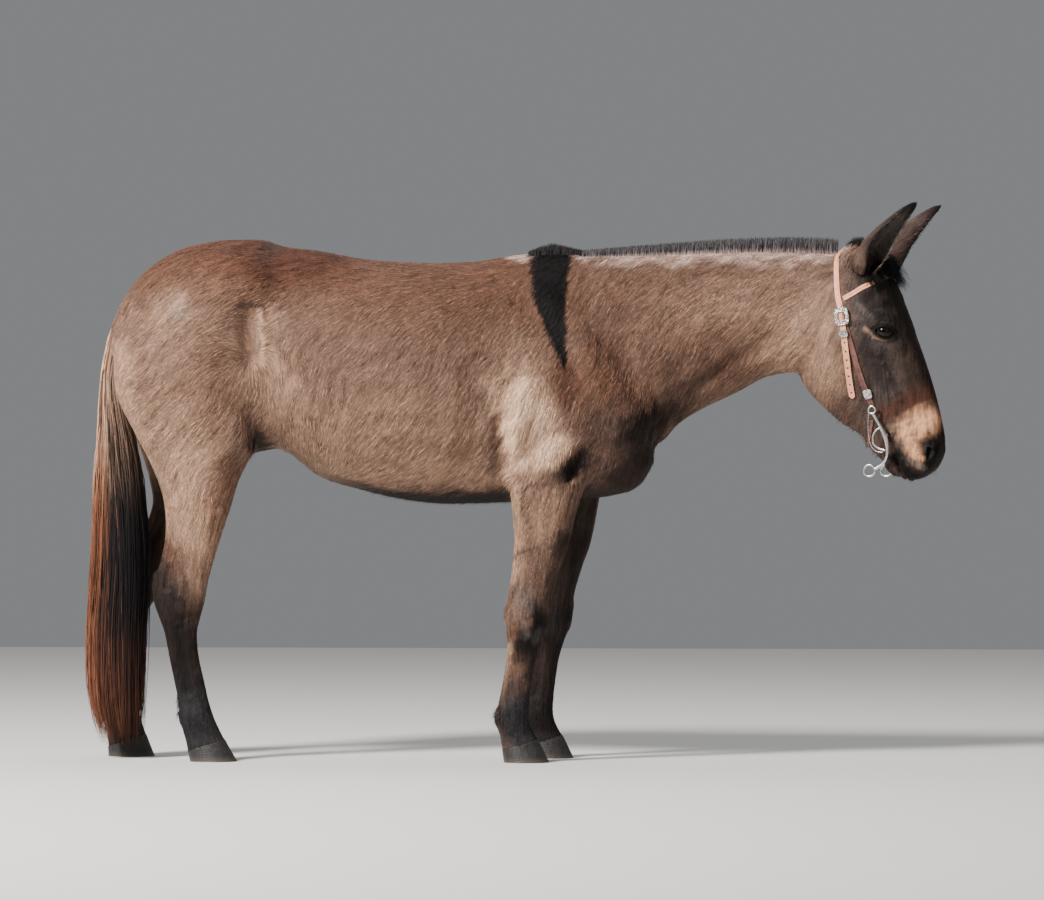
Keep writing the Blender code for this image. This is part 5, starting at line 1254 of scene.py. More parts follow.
def tail_locks(high, low, tip_high, tip_low, count, chance):
    """One tier of tail hair: where each lock's rings and tip lie, and how far round it grows."""
    turn = chance.uniform(0, 2 * math.pi, count)
    inner = np.sqrt(chance.uniform(0.12, 1.0, count))
    top, end = chance.uniform(low, high, count), chance.uniform(tip_low, tip_high, count)
    drift, sway = chance.normal(0, 0.25, count), chance.normal(0, 0.05, count)
    phase = chance.uniform(0, 2 * math.pi, count)
    t = np.linspace(0, 1, TAIL_LEVELS + 1)[None]
    reach = inner[:, None] * (0.55 + 0.4 * np.clip(t / 0.16, 0, 1) - 0.03 * t)
    angle = turn[:, None] + drift[:, None] * t
    wave = sway[:, None] * np.sin(phase[:, None] + 5 * t)
    places = tail_place(top[:, None] + (end - top)[:, None] * t, reach * np.cos(angle) + wave,
                        reach * np.sin(angle) + 0.6 * wave)
    return places, turn, inner


chance = np.random.default_rng(12)
tiers = [tail_locks(*tier, chance) for tier in TAIL_TIERS]
places = np.concatenate([tier[0] for tier in tiers])
turn, inner = (np.concatenate([tier[k] for tier in tiers]) for k in (1, 2))
count = len(places)
outward = np.stack((np.cos(turn), np.sin(turn), 0 * turn), axis=1)
spin = chance.normal(0, 0.6, count)
across = unit(np.stack((-np.sin(turn + spin), np.cos(turn + spin), 0 * turn), axis=1))
width = chance.uniform(0.0024, 0.005, count)[:, None] * np.linspace(1.0, 0.45, TAIL_LEVELS)[None]
rear = np.clip(0.5 - 0.75 * np.cos(turn + 0.55), 0, 1)
outer = np.clip(inner * 1.6 - 0.6, 0, 1)
bleached = np.clip(rear * 1.25 - 0.38 + chance.normal(0, 0.22, count), 0, 1) * outer
reddened = np.clip(chance.normal(0.42, 0.3, count), 0, 1)
ginger = np.clip(chance.normal(0.25, 0.25, count), 0, 1) * bleached
tone = np.array(TAIL_BLACK) + (np.array(TAIL_AUBURN) - TAIL_BLACK) * bleached[:, None]
tone = tone + (np.array(TAIL_GINGER) - tone) * ginger[:, None]
height = places[:, :-1, 2:3]
on_dock = np.clip(inner * 2 - 1, 0, 1) * (0.3 + 0.7 * rear)
dock = np.clip((height - 0.74) / 0.28, 0, 1) * on_dock[:, None, None]
low_down = np.clip((0.42 - height) / 0.3, 0, 1) * np.maximum(reddened - bleached, 0)[:, None, None] * 0.7
tones = tone[:, None] + (np.array(TAIL_AUBURN) - tone[:, None]) * low_down
dock = dock * np.where(chance.uniform(0, 1, count) < 0.3, 0.15, 1.0)[:, None, None]
tones = tones + (np.array(COAT_TONES["straw"]) - tones) * dock * 0.95
colour = np.concatenate((np.repeat(tones, 3, axis=1), tones[:, -1:]), axis=1)
tail_hair = hair_material("tail_hair", 0.42, 0.0003)
for part in range(2):
    some = np.arange(count) % 2 == part
    tail = make_locks(
        f"tail_hair_{part + 1}", places[some, :-1], places[some, -1], each_level(across[some], TAIL_LEVELS),
        each_level(outward[some], TAIL_LEVELS), width[some], 0.4 * width[some], colour[some],
        spots_near(places[some, 0]), outward[some], 0.55, tail_hair)
    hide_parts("tail")

# The eyes: dark wet balls set deep under the lids, brown round a level oval pupil.
# In radii of the eyeball: the iris, its dark edge, the pupil's half length and height, the bulge
IRIS_RADIUS = 0.66
IRIS_EDGE = 0.035
PUPIL = (0.36, 0.17)
BULGE = 0.035
EYE_BROWN = (0.014, 0.007, 0.005)
EYE_WHITE = (0.026, 0.018, 0.016)

wet = new_material("eye_wet", {
    "Roughness": 0.35, "Specular IOR Level": 0.0, "Coat Weight": 0.45, "Coat Roughness": 0.015,
}, {
    "seen": ("Attribute", {}, ("attribute_name", "coat")),
    "fibres": ("TexNoise", {"Scale": 900}),
    "spread": ("MapRange", {"To Min": 0.7, "To Max": 1.3}),
    "tint": ("VectorMath", {}, ("operation", "SCALE")),
}, (
    "place.Object.fibres.Vector", "fibres.Fac.spread.Value", "seen.Color.tint.Vector",
    "spread.Result.tint.Scale", "tint.Vector.shader.Base Color",
))

for side, word in SIDES:
    looks, forward, up = eye_axes(side)
    bm = bmesh.new()
    bmesh.ops.create_uvsphere(bm, u_segments=64, v_segments=40, radius=1)
    frame_of_eye = Matrix((forward, up, looks)).transposed()
    bulge = {vert: 1 + BULGE * max(0.0, 1 - (math.hypot(vert.co.x, vert.co.y) / IRIS_RADIUS) ** 2) ** 2
             if vert.co.z > 0 else 1.0 for vert in bm.verts}
    tones = []
    for vert in bm.verts:
        a, b, ahead = vert.co
        ring = math.hypot(a, b)
        pupil = math.hypot(a / PUPIL[0], b / PUPIL[1])
        iris = min(1.0, max(0.0, (IRIS_RADIUS - ring) / 0.04 + 0.5)) if ahead > 0 else 0.0
        tone = np.array(EYE_WHITE) + (np.array(EYE_BROWN) * (0.55 + 0.7 * ring) - EYE_WHITE) * iris
        tone = tone * min(1.0, max(0.03, (pupil - 1) * 4)) if ahead > 0 else tone
        tones.append(tone * (0.35 if abs(ring - IRIS_RADIUS) < IRIS_EDGE and ahead > 0 else 1.0))
        vert.co = eye_centre(side) + frame_of_eye @ (vert.co * EYE_RADIUS * bulge[vert])
    face_outwards(bm)
    eye = new_object(f"eyeball_{word}", bm, wet)
    paint(eye.data, np.array(tones))
    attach(eye, "root")
    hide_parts(f"eye_{word}")

# The hooves: narrow upright walls of dark horn, ringed by growth, with a soft coronet band
# under the hair and a flat worn edge on the ground.
# Each end's leg, its steps, and the middle of its coronet: x, z
HOOVES = (
    ("fore", FORELEG, LEFT_FORE_STEP, (0.03, 0.052)), ("hind", HIND_LEG, LEFT_HIND_STEP, (-0.876, 0.048)),
)
CORONET_SLOPE = 0.3
GROWTH_RING = 0.0075
RING_RELIEF = 0.00022
HOOF_SIDES = 72
# Black horn with fine upright streaks, dusty and scuffed towards the ground
horn = new_material("hoof_horn", {"Roughness": 0.46}, {
    "stretch": ("Mapping", {"Scale": (1, 1, 0.08)}),
    "grain": ("TexNoise", {"Scale": 260, "Detail": 4}),
    "tones": ("ValToRGB", ((0.32, (0.01, 0.009, 0.009)), (0.75, (0.034, 0.029, 0.027)))),
    "height": ("SeparateXYZ", {}),
    "dusty": ("MapRange", {"From Min": 0.018, "From Max": 0.002, "To Max": 0.28}),
    "dust": ("Mix", {"B": (0.15, 0.12, 0.09, 1)}, ("data_type", "RGBA")),
    "bump": ("Bump", {"Strength": 0.6, "Distance": 0.0006}),
}, (
    "place.Object.stretch.Vector", "stretch.Vector.grain.Vector", "grain.Fac.tones.Fac",
    "place.Object.height.Vector", "height.Z.dusty.Value", "dusty.Result.dust.Factor", "tones.Color.dust.A",
    "dust.Result.shader.Base Color", "grain.Fac.bump.Height", "bump.Normal.shader.Normal",
))
for end, table, steps, (x, z) in HOOVES:
    for side, word in SIDES:
        bm = bmesh.new()
        foot = [row for row in leg_rows(table, steps, side) if row[1] < 0.12]
        loft(bm, foot, sides=HOOF_SIDES, step=0.0025)
        shift = float(step_at(steps, z)) if side > 0 else 0.0
        top, way = Vector((x + shift, 0, z)), Vector((-CORONET_SLOPE, 0, 1)).normalized()
        cut_flat(bm, top, way, "behind")
        cut_flat(bm, (0, 0, 0), (0, 0, 1), "ahead")
        centre = sum((vert.co for vert in bm.verts), Vector()) / len(bm.verts)
        for vert in bm.verts:
            below = (top - vert.co).dot(way)
            away = (vert.co - centre) * Vector((1, 1, 0))
            wobble = 0.25 * math.sin(5 * math.atan2(away.y, away.x))
            relief = RING_RELIEF * math.sin(2 * math.pi * (below / GROWTH_RING + wobble))
            vert.co -= away.normalized() * (RING_RELIEF - relief) * min(1.0, below / 0.004)
        close_holes(bm)
        edge_ring = [edge for edge in bm.edges if max(len(face.verts) for face in edge.link_faces) > 8]
        bmesh.ops.bevel(bm, geom=edge_ring, offset=0.0012, offset_type="OFFSET", segments=2, profile=0.5,
                        affect="EDGES", material=-1)
        face_outwards(bm)
        hoof = new_object(f"hoof_{end}_{word}", bm, horn)
        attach(hoof, "root")
        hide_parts(f"{end}_hoof_{word}")

# The coat itself: short winter hair that lies flat, in thousands of overlapping tufts. They
# follow the lie of the hair from the poll to the croup and down the legs, smallest on the
# face and feet, and stand out only at the belly, throat, elbows, fetlocks and ears.
# The lie on the trunk and legs: place (x, distance from the middle, z), reach, way
BODY_LIE = (
    ((0.9, 0.05, 1.36), 0.16, (-0.7, 0.1, -0.65)), ((0.65, 0.05, 1.42), 0.18, (-0.75, 0.15, -0.6)),
    ((0.65, 0.08, 1.22), 0.16, (-0.6, 0.05, -0.8)), ((0.35, 0.1, 1.4), 0.18, (-0.6, 0.15, -0.8)),
    ((0.35, 0.15, 1.15), 0.18, (-0.4, 0.1, -0.9)), ((0.42, 0.0, 1.0), 0.14, (-0.15, 0.25, -1.0)),
    ((0.1, 0.2, 1.15), 0.2, (-0.45, 0.0, -0.88)), ((0.05, 0.2, 0.88), 0.14, (-0.4, 0.0, -0.9)),
    ((-0.3, 0.05, 1.44), 0.2, (-0.95, 0.35, -0.1)), ((-0.3, 0.3, 1.12), 0.26, (-0.55, 0.0, -0.83)),
    ((-0.25, 0.15, 0.78), 0.16, (-0.7, -0.2, -0.65)), ((-0.6, 0.22, 1.28), 0.12, (-0.7, 0.0, -0.7)),
    ((-0.62, 0.22, 1.0), 0.14, (-0.15, 0.05, -1.0)), ((-0.8, 0.1, 1.5), 0.18, (-0.9, 0.35, -0.3)),
    ((-1.0, 0.15, 1.38), 0.16, (-0.8, 0.2, -0.6)), ((-1.0, 0.18, 1.12), 0.18, (-0.75, 0.05, -0.7)),
    ((-0.85, 0.22, 0.98), 0.16, (-0.62, 0.0, -0.78)), ((-0.95, 0.13, 0.7), 0.18, (-0.25, 0.0, -1.0)),
    ((-1.0, 0.13, 0.4), 0.22, (-0.05, 0.0, -1.0)), ((-0.9, 0.13, 0.08), 0.12, (0.15, 0.0, -1.0)),
    ((0.14, 0.12, 0.65), 0.22, (-0.12, 0.0, -1.0)), ((0.12, 0.12, 0.3), 0.22, (-0.05, 0.0, -1.0)),
    ((0.08, 0.12, 0.08), 0.12, (0.1, 0.0, -1.0)),
)
# The lie on the head, in its own frame
HEAD_LIE = (
    ((0.16, 0.02, -0.02), 0.07, (0.5, 0.1, -0.9)), ((0.23, 0.0, -0.14), 0.08, (0.4, 0.3, -0.9)),
    ((0.27, 0.0, -0.34), 0.12, (0.25, 0.1, -1.0)), ((0.31, 0.03, -0.5), 0.08, (0.15, 0.15, -1.0)),
    ((0.18, 0.08, -0.34), 0.12, (0.0, 0.05, -1.0)), ((0.1, 0.1, -0.24), 0.1, (-0.45, 0.0, -0.9)),
    ((0.0, 0.1, -0.15), 0.1, (-0.55, 0.0, -0.85)), ((0.02, 0.08, -0.34), 0.12, (-0.6, 0.0, -0.8)),
    ((-0.05, 0.06, -0.3), 0.1, (-0.5, 0.0, -0.9)), ((0.12, 0.09, -0.09), 0.06, (-0.1, 0.1, -1.0)),
    ((0.2, 0.06, -0.52), 0.08, (-0.2, 0.1, -1.0)), ((0.24, 0.03, -0.62), 0.06, (-0.4, 0.0, -0.8)),
    ((0.03, 0.04, 0.02), 0.07, (-0.8, 0.3, 0.05)),
)
# The flank's whorl, where the hair fans out: x, z, reach
WHORL = (-0.745, 1.165, 0.085)
# Coat length by place on the trunk and legs: (x, z), reach, length
BODY_HAIR = (
    ((-0.25, 0.745), 0.1, 0.022), ((0.06, 0.8), 0.09, 0.021), ((0.42, 0.95), 0.12, 0.019),
    ((-0.95, 0.6), 0.16, 0.012), ((0.15, 0.62), 0.14, 0.012), ((-0.95, 0.3), 0.2, 0.009),
    ((0.12, 0.3), 0.2, 0.009), ((0.8, 1.16), 0.1, 0.02), ((-0.95, 0.05), 0.1, 0.01),
    ((0.1, 0.05), 0.1, 0.01), ((-0.62, 0.9), 0.1, 0.02),
)
BODY_HAIR_LENGTH = 0.0175
# The same on the head, in its own frame
HEAD_HAIR = (
    ((0.27, 0.05, -0.5), 0.1, 0.0042), ((0.22, 0.03, -0.64), 0.07, 0.003),
    ((0.24, 0.02, -0.3), 0.12, 0.0065), ((0.02, 0.09, -0.25), 0.14, 0.0105),
    ((0.18, 0.09, -0.21), 0.05, 0.0042), ((0.02, 0.02, -0.45), 0.12, 0.012),
    ((0.08, 0.08, -0.03), 0.07, 0.012), ((0.15, 0.03, 0.0), 0.07, 0.011),
)
HEAD_HAIR_LENGTH = 0.008
EAR_HAIR_LENGTH = 0.0085
HAIR_SLIMNESS = 0.13
HAIR_THICKNESS = 0.03
HAIR_COVER = {"body": 1.7, "head": 1.25}
COAT_PIECE = 48000
ROOT_DEPTH = 0.0004
BARE_LID = 0.0016
BARE_NOSTRIL = (0.013, 0.013, 0.018)
# Streaks along the hair: width, reach, strength, seed
STREAKS = ((0.014, 0.038, 0.8, 33), (0.0065, 0.018, 1.0, 34))
STREAK_STEP = 0.002
STREAK_RELIEF = 0.2
# How strongly the streaks paint the light and shade of the hair's clumps into its colour
STREAK_CONTRAST = 0.22
TUFT_CONTRAST = 0.17
# How dark the skin between the tufts is painted, as shade in the gaps between them
TUFT_GAP_SHADE = 0.66
# How much of a tuft's light comes from the lie of the coat rather than its own shape
COAT_SOFTNESS = 0.72


def closeness(places, place, reach):
    """How near each of these lies to a place: 1 there, and fading out past this reach."""
    return np.exp(-((np.linalg.norm(places - np.array(place), axis=1) / reach) ** 2))


def nearby(places, table):
    """How strongly each row of the table counts at each place, as shares of one."""
    weights = np.stack([closeness(places, place, reach) for place, reach, _ in table]) + 1e-12
    return weights / weights.sum(axis=0)


def blended(places, table):
    """The table's last column, blended by nearness."""
    return np.einsum("kn,k...->n...", nearby(places, table), np.array([row[2] for row in table]))


def lie_of_hair(points, normals):
    """The way the hair lies at each point, along the skin."""
    places = on_square_legs(points)
    way = blended(places, BODY_LIE)
    x, z, reach = WHORL
    from_whorl = places[:, [0, 2]] - np.array((x, z))
    near = closeness(from_whorl, (0, 0), reach) * (places[:, 1] > 0.1)
    fan = np.stack((from_whorl[:, 0], 0 * near, from_whorl[:, 1]), axis=1) / reach
    way += (1.6 * fan - way) * near[:, None]
    way[:, 1] *= np.where(points[:, 1] < 0, -1, 1)
    spots = in_head(points)
    side = np.where(spots[:, 1] < 0, -1, 1)
    spots[:, 1] = np.abs(spots[:, 1])
    head_lie = blended(spots, HEAD_LIE)
    on_ear = ear_parts(spots)[1]
    ear_way = np.array((EAR_TIP - EAR_BASE).normalized())
    head_lie += (ear_way - head_lie) * on_ear[:, None]
    head_lie[:, 1] *= side
    turn = np.array(Matrix.Rotation(-HEAD_TURN, 3, "Z"))
    face = np.maximum(np.clip((past_neck(points) + 0.03) / 0.06, 0, 1), on_ear)[:, None]
    way = way * (1 - face) + (head_lie @ turn.T) * face
    way = unit(way - normals * (way * normals).sum(axis=1)[:, None])
    swirl = 0.16 * ripple(points, 0.11, 21) + 0.07 * ripple(points, 0.035, 22)
    return unit(way * np.cos(swirl)[:, None] + np.cross(normals, way) * np.sin(swirl)[:, None])


def hair_length(points):
    """How long the coat is at each point."""
    places = on_square_legs(points)[:, [0, 2]]
    length = np.full(len(points), BODY_HAIR_LENGTH)
    for place, reach, size in BODY_HAIR:
        length += (size - length) * closeness(places, place, reach)
    spots = in_head(points)
    spots[:, 1] = np.abs(spots[:, 1])
    head = np.full(len(points), HEAD_HAIR_LENGTH)
    for place, reach, size in HEAD_HAIR:
        head += (size - head) * closeness(spots, place, reach)
    on_ear = ear_parts(spots)[1]
    head += (EAR_HAIR_LENGTH - head) * on_ear
    face = np.maximum(np.clip((past_neck(points) + 0.05) / 0.1, 0, 1), on_ear)
    return length + (head - length) * face


def above_coronet(points, below):
    """How far places lie above the slanting top of their hoof, and a metre for those far from one."""
    places = on_square_legs(points)
    over = np.full(len(points), 1.0)
    for _, _, _, (x, z) in HOOVES:
        near = (np.abs(places[:, 0] - x) < 0.2) & (places[:, 2] < below)
        over[near] = (places[:, 2] - z - CORONET_SLOPE * (places[:, 0] - x))[near]
    return over


def bare_skin(points):
    """Where no coat grows: on the lids' edges, in the nostrils and inside the hooves."""
    bare = from_eyes(points) < EYE_RADIUS + BARE_LID
    spots = in_head(points)
    for side in (-1, 1):
        away = (spots - np.array(NOSTRIL_PLACE) * np.array((1, side, 1))) / np.array(BARE_NOSTRIL)
        bare |= np.linalg.norm(away, axis=1) < 1
    return bare | (above_coronet(points, 0.12) < 0.0015)


def sow(count_each, seed):
    """Roots spread over the skin: their places, normals and places on its unwrap."""
    chance = np.random.default_rng(seed)
    run = np.cumsum(count_each)
    marks = np.arange(chance.uniform(0, 1), run[-1], 1.0)
    chosen = np.searchsorted(run, marks)
    a, b = chance.random((2, len(chosen)))
    over = a + b > 1
    a, b = np.where(over, 1 - a, a), np.where(over, 1 - b, b)
    share = np.stack((1 - a - b, a, b), axis=1)[:, :, None]
    return [(patch_corners[chosen] * share).sum(axis=1)
            for patch_corners in (skin_corners, skin_normals, skin_spots)]


def streaks(points, way):
    """Light and dark streaks that run along the lie of the hair, about -2 to 2."""
    total = np.zeros(len(points))
    for size, reach, strength, seed in STREAKS:
        for step in np.linspace(-0.5, 0.5, 5) * reach:
            total += strength * ripple(points + way * step, size, seed, 10)
    return total / total.std()


def grow(name, points, normals, shade, spots, way, length, width, rise, tones):
    """A coat of single tufts, in as many pieces as it needs."""
    across = unit(np.cross(normals, way))
    tips = points + way * length[:, None] + normals * (rise * length)[:, None]
    roots = points - normals * ROOT_DEPTH
    parts = max(1, math.ceil(len(points) / COAT_PIECE))
    for part in range(parts):
        cut = slice(part * len(points) // parts, (part + 1) * len(points) // parts)
        piece = make_locks(
            f"{name}_{part + 1}", roots[cut, None], tips[cut], across[cut, None], normals[cut, None],
            width[cut, None], (width[cut, None] * HAIR_THICKNESS / HAIR_SLIMNESS), tones[cut], spots[cut],
            shade[cut], COAT_SOFTNESS, coat_hair)
        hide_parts(*FLESH)


def areas_of(corners):
    """The areas of triangles."""
    one, two = corners[:, 1] - corners[:, 0], corners[:, 2] - corners[:, 0]
    return np.linalg.norm(np.cross(one, two), axis=1) / 2


points, normals = points_of(skin.data), normals_of(skin.data)
# The skin under the tufts is painted darker as shade in the gaps, and streaked with the painted light and
# shade of the hair's clumps.
light = TUFT_GAP_SHADE * (1 + STREAK_CONTRAST * streaks(points, lie_of_hair(points, normals)))
paint(skin.data, np.clip(coat_colour(points) * light[:, None], 0.001, 0.9))

chance = np.random.default_rng(31)
middles = skin_corners.mean(axis=1)
cover = np.where(past_neck(middles) > 0, HAIR_COVER["head"], HAIR_COVER["body"])
number = cover * areas_of(skin_corners) / (hair_length(middles) ** 2 * HAIR_SLIMNESS)
number = np.where(bare_skin(middles), 0, number)
points, normals, spots = sow(number, 32)
normals = unit(normals)
kept = ~bare_skin(points)
points, normals, spots = points[kept], normals[kept], spots[kept]
count = len(points)
length = hair_length(points) * chance.uniform(0.72, 1.25, count)
way = lie_of_hair(points, normals)
across = np.cross(normals, way)
relief = streaks(points + across * STREAK_STEP, way) - streaks(points - across * STREAK_STEP, way)
shade = unit(normals - across * (STREAK_RELIEF * relief)[:, None])
# Each tuft's colour carries the streaks as painted light and shade of the hair's clumps, and a random tone of
# its own.
light = 1 + STREAK_CONTRAST * streaks(points, way) + chance.normal(0, TUFT_CONTRAST, count)
stray = chance.normal(0, 0.11, count)
way = unit(way * np.cos(stray)[:, None] + across * np.sin(stray)[:, None])
warm = chance.normal(0, 0.05, count)[:, None]
tones = coat_colour(points) * np.clip(light, 0.3, 1.9)[:, None] * (1 + warm * np.array((1.0, 0.1, -0.8)))
rise = np.clip(chance.normal(0.085, 0.035, count), 0.03, 0.22)
width = length * HAIR_SLIMNESS * chance.uniform(0.7, 1.3, count)
grow("coat", points, normals, shade, spots, way, length, width, rise, np.clip(tones, 0.001, 0.9))

# Longer hair stands out of the coat: under the belly, in the fold of the flank, behind the
# elbows and knees, at the fetlocks, under the jaw, round and in the ears and between them.
# On the trunk and legs: from, to, spread, locks, length, way, lift
BODY_FRINGES = (
    ((-0.42, 0.04, 0.742), (0.02, 0.04, 0.736), 0.045, 520, 0.026, (-0.55, 0.0, -0.6), 0.25),
    ((-0.75, 0.21, 0.99), (-0.718, 0.16, 0.895), 0.028, 260, 0.03, (-0.1, 0.05, -1.0), 0.2),
    ((0.03, 0.17, 0.865), (-0.005, 0.15, 0.8), 0.03, 200, 0.026, (-0.75, 0.0, -0.6), 0.35),
    ((0.2, 0.17, 0.87), (0.18, 0.15, 0.82), 0.022, 120, 0.022, (-0.2, 0.0, -1.0), 0.2),
    ((0.34, 0.02, 0.84), (0.42, 0.05, 0.93), 0.05, 260, 0.022, (-0.3, 0.1, -1.0), 0.2),
)
FORE_FRINGES = (
    ((0.0, 0.15, 0.485), (-0.01, 0.15, 0.455), 0.016, 60, 0.02, (-0.7, 0.0, -0.8), 0.45),
    ((-0.015, 0.15, 0.415), (-0.015, 0.15, 0.375), 0.014, 50, 0.017, (-0.7, 0.0, -0.8), 0.45),
    ((-0.035, 0.14, 0.165), (-0.03, 0.14, 0.13), 0.016, 130, 0.026, (-0.45, 0.0, -1.0), 0.4),
)
HIND_FRINGES = (
    ((-0.99, 0.14, 0.185), (-0.985, 0.14, 0.14), 0.016, 130, 0.026, (-0.45, 0.0, -1.0), 0.4),
)
# On the head, in its own frame
EAR_WAY = tuple((EAR_TIP - EAR_BASE).normalized())
HEAD_FRINGES = (
    ((0.02, 0.065, 0.01), (0.085, 0.085, -0.035), 0.022, 420, 0.034, (0.45, 0.2, 0.85), 0.3),
    ((0.06, 0.06, 0.02), (0.105, 0.08, 0.01), 0.016, 260, 0.03, EAR_WAY, 0.12),
    ((-0.02, 0.03, -0.4), (0.13, 0.02, -0.56), 0.03, 240, 0.02, (-0.6, 0.1, -0.55), 0.35),
    ((0.17, 0.02, -0.62), (0.27, 0.02, -0.66), 0.02, 60, 0.01, (-0.3, 0.1, -0.9), 0.35),
)
FORELOCK = (
    ((0.035, 0.012, 0.045), (0.075, 0.03, 0.035), 0.016, 200, 0.03, (0.2, 0.1, 1.0), 0.45),
    ((0.105, 0.015, 0.03), (0.156, 0.02, -0.016), 0.02, 1000, 0.08, (0.6, 0.14, -0.8), 0.34),
    ((0.142, 0.046, -0.012), (0.122, 0.076, -0.042), 0.014, 760, 0.066, (0.34, 0.02, -0.95), 0.34),
)
EAR_LINING = (
    (EAR_BASE.lerp(EAR_TIP, 0.22) + EAR_OPENS * 0.012, EAR_BASE.lerp(EAR_TIP, 0.76) + EAR_OPENS * 0.004, 0.03,
     700, 0.018, tuple(Vector(EAR_WAY) + 0.4 * EAR_OPENS), 0.25),
)
LASHES = (((0.158, 0.11, -0.197), (0.196, 0.1, -0.196), 0.003, 70, 0.016, (0.15, 1.0, -0.2), 0.2),)
WHISKERS = (
    ((0.3, 0.05, -0.6), (0.23, 0.04, -0.655), 0.02, 60, 0.024, (0.3, 0.5, -0.6), 0.6),
    ((0.155, 0.115, -0.235), (0.2, 0.11, -0.24), 0.006, 14, 0.022, (0.2, 0.8, -0.5), 0.5),
)
FRINGE_WIDTH = 0.0016
FINE_WIDTH = 0.0005
FORELOCK_BLACK = (0.006, 0.005, 0.005)
LINING_GREY = (0.15, 0.128, 0.112)


def fringe(name, tables, width, tone, slimmer=0.7):
    """Locks of longer hair beside lines on the skin, on both sides of the body."""
    roots, normals, ways, lengths = [], [], [], []
    for rows, place in tables:
        for start, end, spread, locks, length, way, lift in rows:
            for i in range(locks):
                side = -1 if i % 2 else 1
                spot = Vector(start).lerp(Vector(end), chance.uniform(0, 1))
                spot += Vector(chance.normal(0, spread / 2, 3))
                base = Vector(place(spot, side))
                root, normal, _, _ = skin_tree.find_nearest(base)
                pull = Vector(place(spot + Vector(way) * 0.01, side)) - base
                pull = (pull - normal * pull.dot(normal)).normalized() + normal * lift
                roots.append(root)
                normals.append(normal)
                ways.append((pull + Vector(chance.normal(0, 0.12, 3))).normalized())
                lengths.append(length * chance.uniform(0.6, 1.15))
    roots, normals, ways = (np.array(rows) for rows in (roots, normals, ways))
    lengths = np.array(lengths)[:, None]
    across = unit(np.cross(normals, ways))
    droop = np.array((0, 0, -0.1)) * lengths
    rings = np.stack((roots - ways * 0.001, roots + ways * lengths * 0.5), axis=1)
    thick = width * chance.uniform(0.7, 1.3, len(roots))[:, None] * np.array((1.0, slimmer))
    light = np.exp(chance.normal(0, 0.28, len(roots)))[:, None]
    tones = (coat_colour(roots) if tone is None else np.tile(tone, (len(roots), 1))) * light
    lifted = unit(np.cross(ways, across))
    piece = make_locks(name, rings, roots + ways * lengths + droop, each_level(across, 2),
                       each_level(lifted, 2), thick, 0.3 * thick, np.clip(tones, 0.0015, 0.9),
                       spots_near(roots), normals, 0.6, coat_hair)
    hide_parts(*FLESH)


chance = np.random.default_rng(41)
fringe("body_fringe", ((BODY_FRINGES, on_body), (FORE_FRINGES, on_foreleg), (HIND_FRINGES, on_hind_leg),
                       (HEAD_FRINGES, on_head)), FRINGE_WIDTH, None)
fringe("forelock", ((FORELOCK, on_head),), FRINGE_WIDTH, FORELOCK_BLACK)
fringe("ear_lining", ((EAR_LINING, on_head),), FRINGE_WIDTH * 0.7, LINING_GREY)
fringe("lashes", ((LASHES, on_head), (WHISKERS, on_head)), FINE_WIDTH, FORELOCK_BLACK)

# The last of the coat hangs over the top of each hoof in a dark fringe.
CORONET_HAIRS = 1500
CORONET_BAND = 0.011
CORONET_LENGTH = 0.015
CORONET_WIDTH = 0.0022
CORONET_RISE = 0.22
over = above_coronet(skin_corners.mean(axis=1), 0.13)
band = np.flatnonzero((over > -0.002) & (over < CORONET_BAND))
areas = areas_of(skin_corners[band])
chosen = chance.choice(band, CORONET_HAIRS, p=areas / areas.sum())
share = chance.dirichlet((1, 1, 1), CORONET_HAIRS)[:, :, None]
points, normals, spots = ((rows[chosen] * share).sum(axis=1)
                          for rows in (skin_corners, skin_normals, skin_spots))
normals = unit(normals)
down = np.array((0.18, 0, -1.0)) + chance.normal(0, 0.1, (CORONET_HAIRS, 3))
way = unit(down - normals * (down * normals).sum(axis=1)[:, None])
length = CORONET_LENGTH * chance.uniform(0.7, 1.2, CORONET_HAIRS)
width = np.full(CORONET_HAIRS, CORONET_WIDTH)
tones = coat_colour(points) * np.exp(chance.normal(0, 0.3, CORONET_HAIRS))[:, None]
grow("coronet_hair", points, normals, normals, spots, way, length, width, CORONET_RISE, tones)

# The bridle's straps: russet harness leather with rounded edges, laid on the head.
# A crown strap runs over the poll and down both cheeks into a buckle, and its punched end
# hangs free below the keeper. Cheekpieces carry the bit, and a thin browband crosses in front.
STRAP_WALL = 0.003
STRAP_CREST = 0.0006
STRAP_STEP = 0.004
STRAP_EASING = 14
STRAP_EDGE = 0.0009
STRAP_SINK = 0.0022
STRAP_POINT = 0.01
# Along each strap: a place on the head's right side, and how far the strap stands off it
CROWN_PATH = metres((
    (14, 0, 45, 0), (16, -55, 5, 0), (24, -80, -55, 0), (32, -88, -105, 0), (41, -92, -132, 0.5),
    (47, -94, -150, 4), (51, -94, -180, 4.2), (54, -94, -210, 4.2), (59, -88, -270, 4),
    (63, -84, -320, 3.4), (66, -80, -365, 1), (68, -74, -402, 1),
))
CHEEK_PATH = metres((
    (52, -94, -156, 0), (58, -94, -180, 0), (72, -88, -235, 0), (85, -80, -290, 0), (100, -72, -350, 0),
    (112, -66, -385, 0), (119, -62, -408, 0), (123, -60, -420, 0),
))
BROW_PATH = metres((
    (50.5, -92, -111, 0), (77, -90, -98, 0), (105, -86, -82, 0), (130, -72, -70, 0), (150, -45, -55, 0),
    (160, 0, -46, 0),
))
CURB_PATH = metres((
    (121, -60, -462, 0), (108, -52, -500, 0), (98, -30, -528, 0), (96, 0, -532, 0),
))


